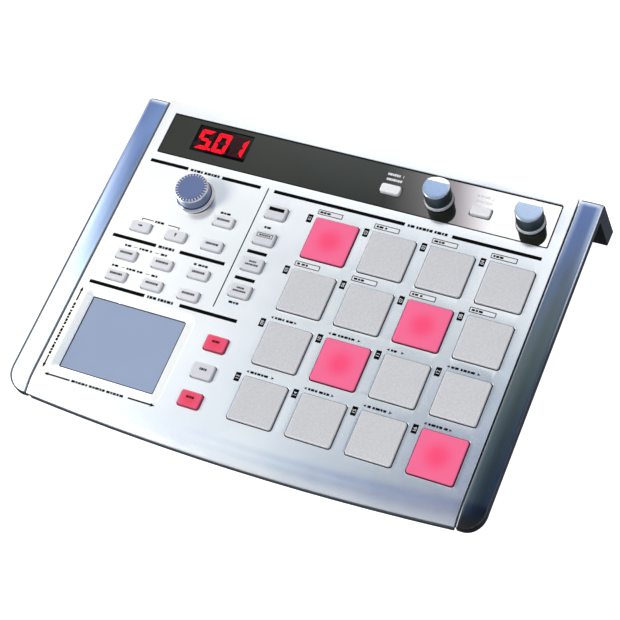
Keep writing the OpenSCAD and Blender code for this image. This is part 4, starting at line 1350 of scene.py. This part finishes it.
def key_marks():
    """Plain bars printed on the keys; each rides with its key."""
    top = BUTTON_H - 0.02
    for j, (name, (u, v, d)) in enumerate(BUTTONS.items()):
        if name.startswith("assign"):
            continue
        k = Build()
        ink = M["ink_grey"]
        n0, n1 = top - 0.12, BUTTON_H + 0.03
        if name == "mode_button_1":
            k.plate(-5.2, 5.2, 0.5, 3.0, n0 - 0.06, n1 - 0.01, 0.15)
            ink = M["ink"]
        elif name == "mode_button_2":
            o, i = rounded_rect(5.4, 1.5, 0.2, 2), rounded_rect(5.0, 1.1, 0.1, 2)
            loops = [[(x, 1.6 + y, h) for x, y in pts] for pts, h in ((o, n0 - 0.06), (o, n1 - 0.01), (i, n1 - 0.01), (i, n0 - 0.06))]
            ids = [k.ring(x) for x in loops]
            for a in range(4):
                k.bridge(ids[a], ids[(a + 1) % 4])
            short_bars(k, -4.2, 4.2, 1.6, 1.1, n0, n1, 2)
        elif name.startswith("mode"):
            short_bars(k, -2.8, 2.8, 1.5, 1.2, n0, n1, j)
            short_bars(k, -4.6, 4.6, -0.7, 1.2, n0, n1, j + 1)
        elif name in ("button_x", "button_y"):
            # plain arrows: along the panel and across it
            if name == "button_x":
                pts = [(-1.5, 0.6), (0.2, 0.6), (0.2, 1.2), (1.7, 0.2), (0.2, -0.8), (0.2, -0.2), (-1.5, -0.2)]
            else:
                pts = [(-0.4, -1.2), (0.4, -1.2), (0.4, 0.4), (1.0, 0.4), (0.0, 1.7), (-1.0, 0.4), (-0.4, 0.4)]
            k.poly(pts, n0, n1)
        elif name.startswith("trigger"):
            short_bars(k, -3.0, 3.0, 0.9, 1.5, n0, n1, j)
            ink = M["ink"]
        else:
            short_bars(k, -4.6, 4.6, 0.5, 1.5, n0, n1, j)
        make(name + "_mark", k.v, k.f, ink, name, matrix=PANEL @ Matrix.Translation((u * MM, v * MM, 0)))


key_marks()


# ---------------------------------------------------------------- CAD nodes that stay, with their materials
def dress(node, mat, bevel=0.0, angle=35.0):
    o = NODES[node]
    o.data.materials.clear()
    o.data.materials.append(mat)
    if bevel:
        w = o.modifiers.new("weld", "WELD")
        w.merge_threshold = 2e-6
        d = o.modifiers.new("planar", "DECIMATE")
        d.decimate_type, d.angle_limit = "DISSOLVE", math.radians(1.0)
        bv = o.modifiers.new("bevel", "BEVEL")
        bv.width, bv.segments, bv.limit_method, bv.angle_limit = bevel * MM, 3, "ANGLE", math.radians(angle)
        bv.use_clamp_overlap = True
        bv.harden_normals = False
        n = o.modifiers.new("weighted", "WEIGHTED_NORMAL")
        n.keep_sharp = True
    return o


dress("bottom_case", M["dark_case"])
dress("usb_socket", M["steel"])
dress("midi_sockets", M["black_plastic"])
dress("pedal_jack", M["black_plastic"])
dress("rubber_feet", M["rubber"])
dress("case_screws", M["steel"])
for n in ("main_board", "pad_board", "jack_board"):
    dress(n, M["board"])
dress("pad_sensors", M["film"])
dress("tact_switches", M["black_plastic"])
dress("encoder_body", M["steel"])
dress("knob_pots", M["steel"])
for n in ("encoder_shaft", "knob_shaft_1", "knob_shaft_2"):
    dress(n, M["steel"])



# ---------------------------------------------------------------- rear sockets
REAR_Y, SOCKET_Z = 128.0 + PANEL_Y, 10.6


def turned_y(b, cx, cz, prof, seg=48, mat=0, flats=0):
    """Ring turned about an axis along the row's Y; prof is a closed loop of (radius, y)."""
    ids = []
    for r, y in prof:
        ring = []
        for j in range(seg):
            a = 2 * math.pi * j / seg
            k = 1.0
            if flats and r > flats:
                k = min(1.0, math.cos(math.pi / 6) / math.cos((a % (math.pi / 3)) - math.pi / 6) * 1.06)
            ring.append((cx + r * k * math.cos(a), y, cz + r * k * math.sin(a)))
        ids.append(b.ring(ring))
    for k in range(len(ids)):
        b.bridge(ids[k], ids[(k + 1) % len(ids)], mat)


def disc_y(b, cx, cz, r, y0, y1, mat=0, seg=24):
    b.loft([[(cx + q * math.cos(2 * math.pi * j / seg), y, cz + q * math.sin(2 * math.pi * j / seg)) for j in range(seg)] for q, y in ((r, y0), (r, y1))], [mat, mat])


def sockets():
    b = Build()
    mats = [M["steel"], M["black_plastic"], M["gold"], M["gasket"]]
    face = REAR_Y - 0.1
    for x in (-72.0, -44.0):
        z = SOCKET_Z + 10.0
        turned_y(b, x, z, [(7.02, face - 3.0), (7.02, face + 0.05), (6.72, face + 0.05), (6.72, face - 3.0)], 64, 0)
        for i in range(5):
            a = math.radians(180 - 45 * i)
            cx, cz = x + 3.75 * math.cos(a), z + 3.75 * math.sin(a) - 0.6
            turned_y(b, cx, cz, [(1.02, face - 0.2), (1.02, face + 0.06), (0.74, face + 0.06), (0.74, face - 0.2)], 24, 2)
            disc_y(b, cx, cz, 0.75, face - 0.2, face + 0.02, 3)
        b.loft([[(x + q, y, z + h) for q, h in ((-1.1, -6.1), (1.1, -6.1), (1.1, -4.7), (-1.1, -4.7))] for y in (face - 0.2, face + 0.03)], [3, 3])
    # jack: hexagon nut and bush
    x, z = -14.0, SOCKET_Z + 8.0
    y0 = REAR_Y + 0.02
    turned_y(b, x, z, [(6.5, y0), (6.95, y0 + 0.25), (6.95, y0 + 1.1), (6.5, y0 + 1.42), (4.8, y0 + 1.42), (4.8, y0)], 72, 0, 6.4)
    turned_y(b, x, z, [(4.82, y0), (4.82, y0 + 1.5), (4.6, y0 + 1.62), (3.5, y0 + 1.62), (3.3, y0 + 1.45), (3.3, y0 - 3.0), (3.6, y0 - 3.0)], 48, 0)
    # square socket: insulating tongue with four contacts
    x, z = -104.0, SOCKET_Z
    for lo, hi, zz0, zz1, mat in ((-2.83, 2.83, 3.67, 6.93, 1),):
        b.loft([[(x + q, y, z + h) for q, h in ((lo, zz0), (hi, zz0), (hi, zz1), (lo, zz1))] for y in (118.3 + PANEL_Y, 127.03 + PANEL_Y)], [mat, mat])
    for q in (-1.25, 1.25):
        for h in (3.62, 6.94):
            b.loft([[(x + q + e, y, z + h + g) for e, g in ((-0.55, 0.0), (0.55, 0.0), (0.55, 0.05), (-0.55, 0.05))] for y in (119.5 + PANEL_Y, 126.2 + PANEL_Y)], [2, 2])
    make("socket_fittings", b.v, b.f, mats, "case", matrix=Matrix.Identity(4), face_mats=b.m, sharp=30.0)


sockets()

# ---------------------------------------------------------------- stage and light
floor_mat = Mat("pale_floor", spec=0.2)
fcol = floor_mat.mix(floor_mat.remap(floor_mat.noise(3.0, 3.0), 0.0, 1.0), (0.49, 0.49, 0.49, 1), (0.51, 0.51, 0.51, 1))
floor_mat.colour(fcol)
floor_mat.link(fcol, floor_mat.bsdf.inputs["Emission Color"])
floor_mat.bsdf.inputs["Emission Strength"].default_value = 2.2
floor_mat.rough(floor_mat.remap(floor_mat.noise(40.0, 3.0), 0.7, 0.85))
me = bpy.data.meshes.new("floor")
s = 6.0
me.from_pydata([(-s, -s, 0), (s, -s, 0), (s, s, 0), (-s, s, 0)], [], [(0, 1, 2, 3)])
me.materials.append(floor_mat.mat)
floor = bpy.data.objects.new("floor", me)
scene.collection.objects.link(floor)
floor.location.z = -0.0001
floor.visible_glossy = False

world = bpy.data.worlds.new("studio")
scene.world = world
world.use_nodes = True
wn, wl = world.node_tree.nodes, world.node_tree.links
bg = wn["Background"]
sky_dir = wn.new("ShaderNodeTexCoord").outputs["Generated"]
TURN = Matrix.Rotation(TILT, 3, "X")


def along(axis):
    """Share of the view direction that lies along an axis of the panel frame."""
    dot = wn.new("ShaderNodeVectorMath")
    dot.operation = "DOT_PRODUCT"
    wl.new(sky_dir, dot.inputs[0])
    dot.inputs[1].default_value = TURN @ Vector(axis)
    return dot.outputs["Value"]


def wmath(op, a, b=None):
    n = wn.new("ShaderNodeMath")
    n.operation = op
    for k, val in enumerate((a, b)):
        if val is None:
            continue
        if isinstance(val, bpy.types.NodeSocket):
            wl.new(val, n.inputs[k])
        else:
            n.inputs[k].default_value = val
    return n.outputs[0]


def step(val, a, b):
    """Smooth rise from 0 at a to 1 at b."""
    mr = wn.new("ShaderNodeMapRange")
    mr.interpolation_type = "SMOOTHSTEP"
    lo, hi, flip = (a, b, False) if a < b else (b, a, True)
    mr.inputs["From Min"].default_value, mr.inputs["From Max"].default_value = lo, hi
    mr.inputs["To Min"].default_value, mr.inputs["To Max"].default_value = (1.0, 0.0) if flip else (0.0, 1.0)
    wl.new(val, mr.inputs["Value"])
    return mr.outputs["Result"]


def blend(fac, a, colour):
    mx = wn.new("ShaderNodeMix")
    mx.data_type = "RGBA"
    wl.new(fac, mx.inputs["Factor"])
    wl.new(a, mx.inputs[6])
    mx.inputs[7].default_value = (*colour, 1.0)
    return mx.outputs[2]


ax_u, ax_v, ax_n = along((-1, 0, 0)), along((0, 1, 0)), along((0, 0, 1))
elev = wmath("MULTIPLY", wmath("ARCSINE", ax_n), 180 / math.pi)
side = wmath("MULTIPLY", wmath("ARCTAN2", ax_v, ax_u), 180 / math.pi)   # 0 at the left, 90 at the rear
# backdrop: bright wall low down, dark ceiling above; the wall reaches higher towards the left
lift = wmath("MULTIPLY", wmath("SUBTRACT", 56.0, wmath("ABSOLUTE", side)), 0.15)
lift = wmath("ADD", lift, wmath("MULTIPLY", wmath("SUBTRACT", wmath("MINIMUM", wmath("MAXIMUM", side, 58.0), 80.0), 58.0), 0.22))
ramp = wn.new("ShaderNodeValToRGB")
wl.new(wmath("DIVIDE", wmath("SUBTRACT", elev, lift), 90.0), ramp.inputs["Fac"])
stops = ((0.0, (0.50, 0.51, 0.53)), (38.0, (0.55, 0.56, 0.58)), (46.0, (1.00, 1.00, 1.00)), (51.0, (1.48, 1.54, 1.54)), (55.0, (1.44, 1.58, 1.68)),
         (57.0, (1.32, 1.50, 1.66)), (58.5, (1.38, 1.53, 1.70)), (61.0, (1.33, 1.51, 1.66)), (62.0, (1.17, 1.38, 1.50)), (63.0, (0.68, 1.00, 1.18)),
         (64.0, (0.30, 0.60, 0.86)), (65.0, (0.07, 0.29, 0.70)), (67.0, (0.05, 0.17, 0.60)), (70.0, (0.03, 0.12, 0.50)), (73.0, (0.01, 0.06, 0.34)), (78.0, (0.01, 0.03, 0.14)), (90.0, (0.01, 0.02, 0.06)))
el = ramp.color_ramp.elements
while len(el) < len(stops):
    el.new(0.5)
for e, (deg, colour) in zip(el, stops):
    e.position, e.color = deg / 90.0, (*colour, 1.0)
# the wall is warmer towards the rear
warm = wn.new("ShaderNodeMix")
warm.data_type, warm.blend_type = "RGBA", "MULTIPLY"
wl.new(step(side, 54.0, 62.5), warm.inputs["Factor"])
wl.new(ramp.outputs["Color"], warm.inputs[6])
warm.inputs[7].default_value = (1.12, 1.0, 0.89, 1.0)
sky = warm.outputs[2]
# dim gap between two wall panels
low_end = wmath("SUBTRACT", elev, wmath("MULTIPLY", wmath("SUBTRACT", wmath("MAXIMUM", side, 50.0), 50.0), 0.3))
gap = wmath("MULTIPLY", wmath("MULTIPLY", step(side, 38.6, 51.2), step(side, 67.5, 57.5)), step(low_end, 53.0, 57.0))
sky = blend(wmath("MULTIPLY", gap, 0.69), sky, (0.0, 0.0, 0.0))
# the wall is greyer at the left
sky = blend(wmath("MULTIPLY", wmath("MULTIPLY", step(side, 52.5, 44.5), step(elev, 40.0, 46.0)), 0.45), sky, (0.0, 0.0, 0.0))
# darker towards the front right, where the room is open
sky = blend(step(along((math.cos(math.radians(-58)), math.sin(math.radians(-58)), 0)), -0.20, 0.40), sky, (0.36, 0.38, 0.43))
# bright wall low at the rear
low = wmath("MULTIPLY", step(side, 50.0, 57.0), step(side, 84.0, 76.0))
low = wmath("MULTIPLY", low, wmath("MULTIPLY", step(elev, 2.0, 8.0), step(elev, 50.0, 44.0)))
sky = blend(low, sky, (1.6, 1.6, 1.58))
# large soft box low on the left
box = wmath("MULTIPLY", step(side, 14.0, 2.0), step(side, -46.0, -34.0))
box = wmath("MULTIPLY", box, wmath("MULTIPLY", step(elev, 12.0, 22.0), step(elev, 58.0, 48.0)))
sky = blend(box, sky, (5.2, 5.2, 5.1))
# below the horizon
sky = blend(step(elev, -4.0, -12.0), sky, (0.10, 0.105, 0.115))
wl.new(sky, bg.inputs["Color"])
bg.inputs["Strength"].default_value = 1.0


def area(name, at, target, size, energy, colour=(1, 1, 1), size_y=None):
    """Soft box; places are in the panel frame, in millimetres."""
    li = bpy.data.lights.new(name, "AREA")
    li.energy, li.color = energy, colour
    li.shape = "RECTANGLE"
    li.size, li.size_y = size, size_y or size
    ob = bpy.data.objects.new(name, li)
    scene.collection.objects.link(ob)
    p, t = PANEL @ (Vector(at) * MM), PANEL @ (Vector(target) * MM)
    ob.location = p
    ob.rotation_mode = "QUATERNION"
    ob.rotation_quaternion = (t - p).to_track_quat("-Z", "Y")
    return ob


# lamp close on the left that only the panel sees
seen = bpy.data.collections.new("panel_key_receivers")
seen.objects.link(case_shell)
lamp = area("panel_key", (-300, -60, 220), (-60, 30, 0), 0.11, 4.4, (1.0, 0.90, 0.70))
lamp.visible_glossy = False
lamp.light_linking.receiver_collection = seen

# card that only the gloss strip sees, for the white sweep at the strip's right end
seen = bpy.data.collections.new("strip_card_receivers")
seen.objects.link(strip_obj)
across = Vector((0.974, 0.107, -0.169))
mid_at = Vector((-45, 476, 681)) + across * -75.0
aim_at = Vector((112, 106, 0)) + across * -75.0
card = area("strip_card", mid_at, aim_at, 0.23, math.pi * 0.23 * 0.12, (1, 1, 1), 0.12)
zz = (PANEL.to_3x3() @ (mid_at - aim_at)).normalized()
xx = PANEL.to_3x3() @ across
xx = (xx - zz * xx.dot(zz)).normalized()
card.rotation_mode = "QUATERNION"
card.rotation_quaternion = Matrix((xx, zz.cross(xx), zz)).transposed().to_quaternion()
card.light_linking.receiver_collection = seen
card.data.use_nodes = True
cn, cl = card.data.node_tree.nodes, card.data.node_tree.links
over = cn.new("ShaderNodeSeparateXYZ")
cl.new(cn.new("ShaderNodeNewGeometry").outputs["Parametric"], over.inputs[0])
sweep = cn.new("ShaderNodeValToRGB")
sweep.color_ramp.interpolation = "B_SPLINE"
marks = ((0.0, (0.0, 0.0, 0.0)), (0.08, (1.0, 0.95, 0.9)), (0.21, (3.2, 2.8, 3.0)), (0.33, (6.6, 5.8, 6.5)), (0.42, (16.5, 15.5, 16.5)), (0.50, (26.0, 26.0, 26.0)), (1.0, (27.0, 27.0, 27.0)))
se = sweep.color_ramp.elements
while len(se) < len(marks):
    se.new(0.5)
for e, (at, colour) in zip(se, marks):
    e.position, e.color = at, tuple(c / 27.0 for c in colour) + (1.0,)
cl.new(over.outputs[0], sweep.inputs["Fac"])
glow = cn["Emission"]
cl.new(sweep.outputs["Color"], glow.inputs["Color"])
glow.inputs["Strength"].default_value = 27.0
# overhead cards that only the left rail sees
seen = bpy.data.collections.new("rail_card_receivers")
seen.objects.link(rail_left)
for i, (y0, y1, glow) in enumerate(((-430.0, 215.0, 9.0), (215.0, 250.0, 6.8), (250.0, 285.0, 5.0), (285.0, 320.0, 3.4), (320.0, 355.0, 2.0), (355.0, 390.0, 1.2), (390.0, 560.0, 0.7))):
    mid, length = (y0 + y1) / 2, (y1 - y0) * MM
    card = area(f"rail_card_{i}", (-475, mid, 580), (-475, mid, 0), 0.34, glow * math.pi * length * 0.34, (1.0, 1.0, 1.0), length)
    card.light_linking.receiver_collection = seen
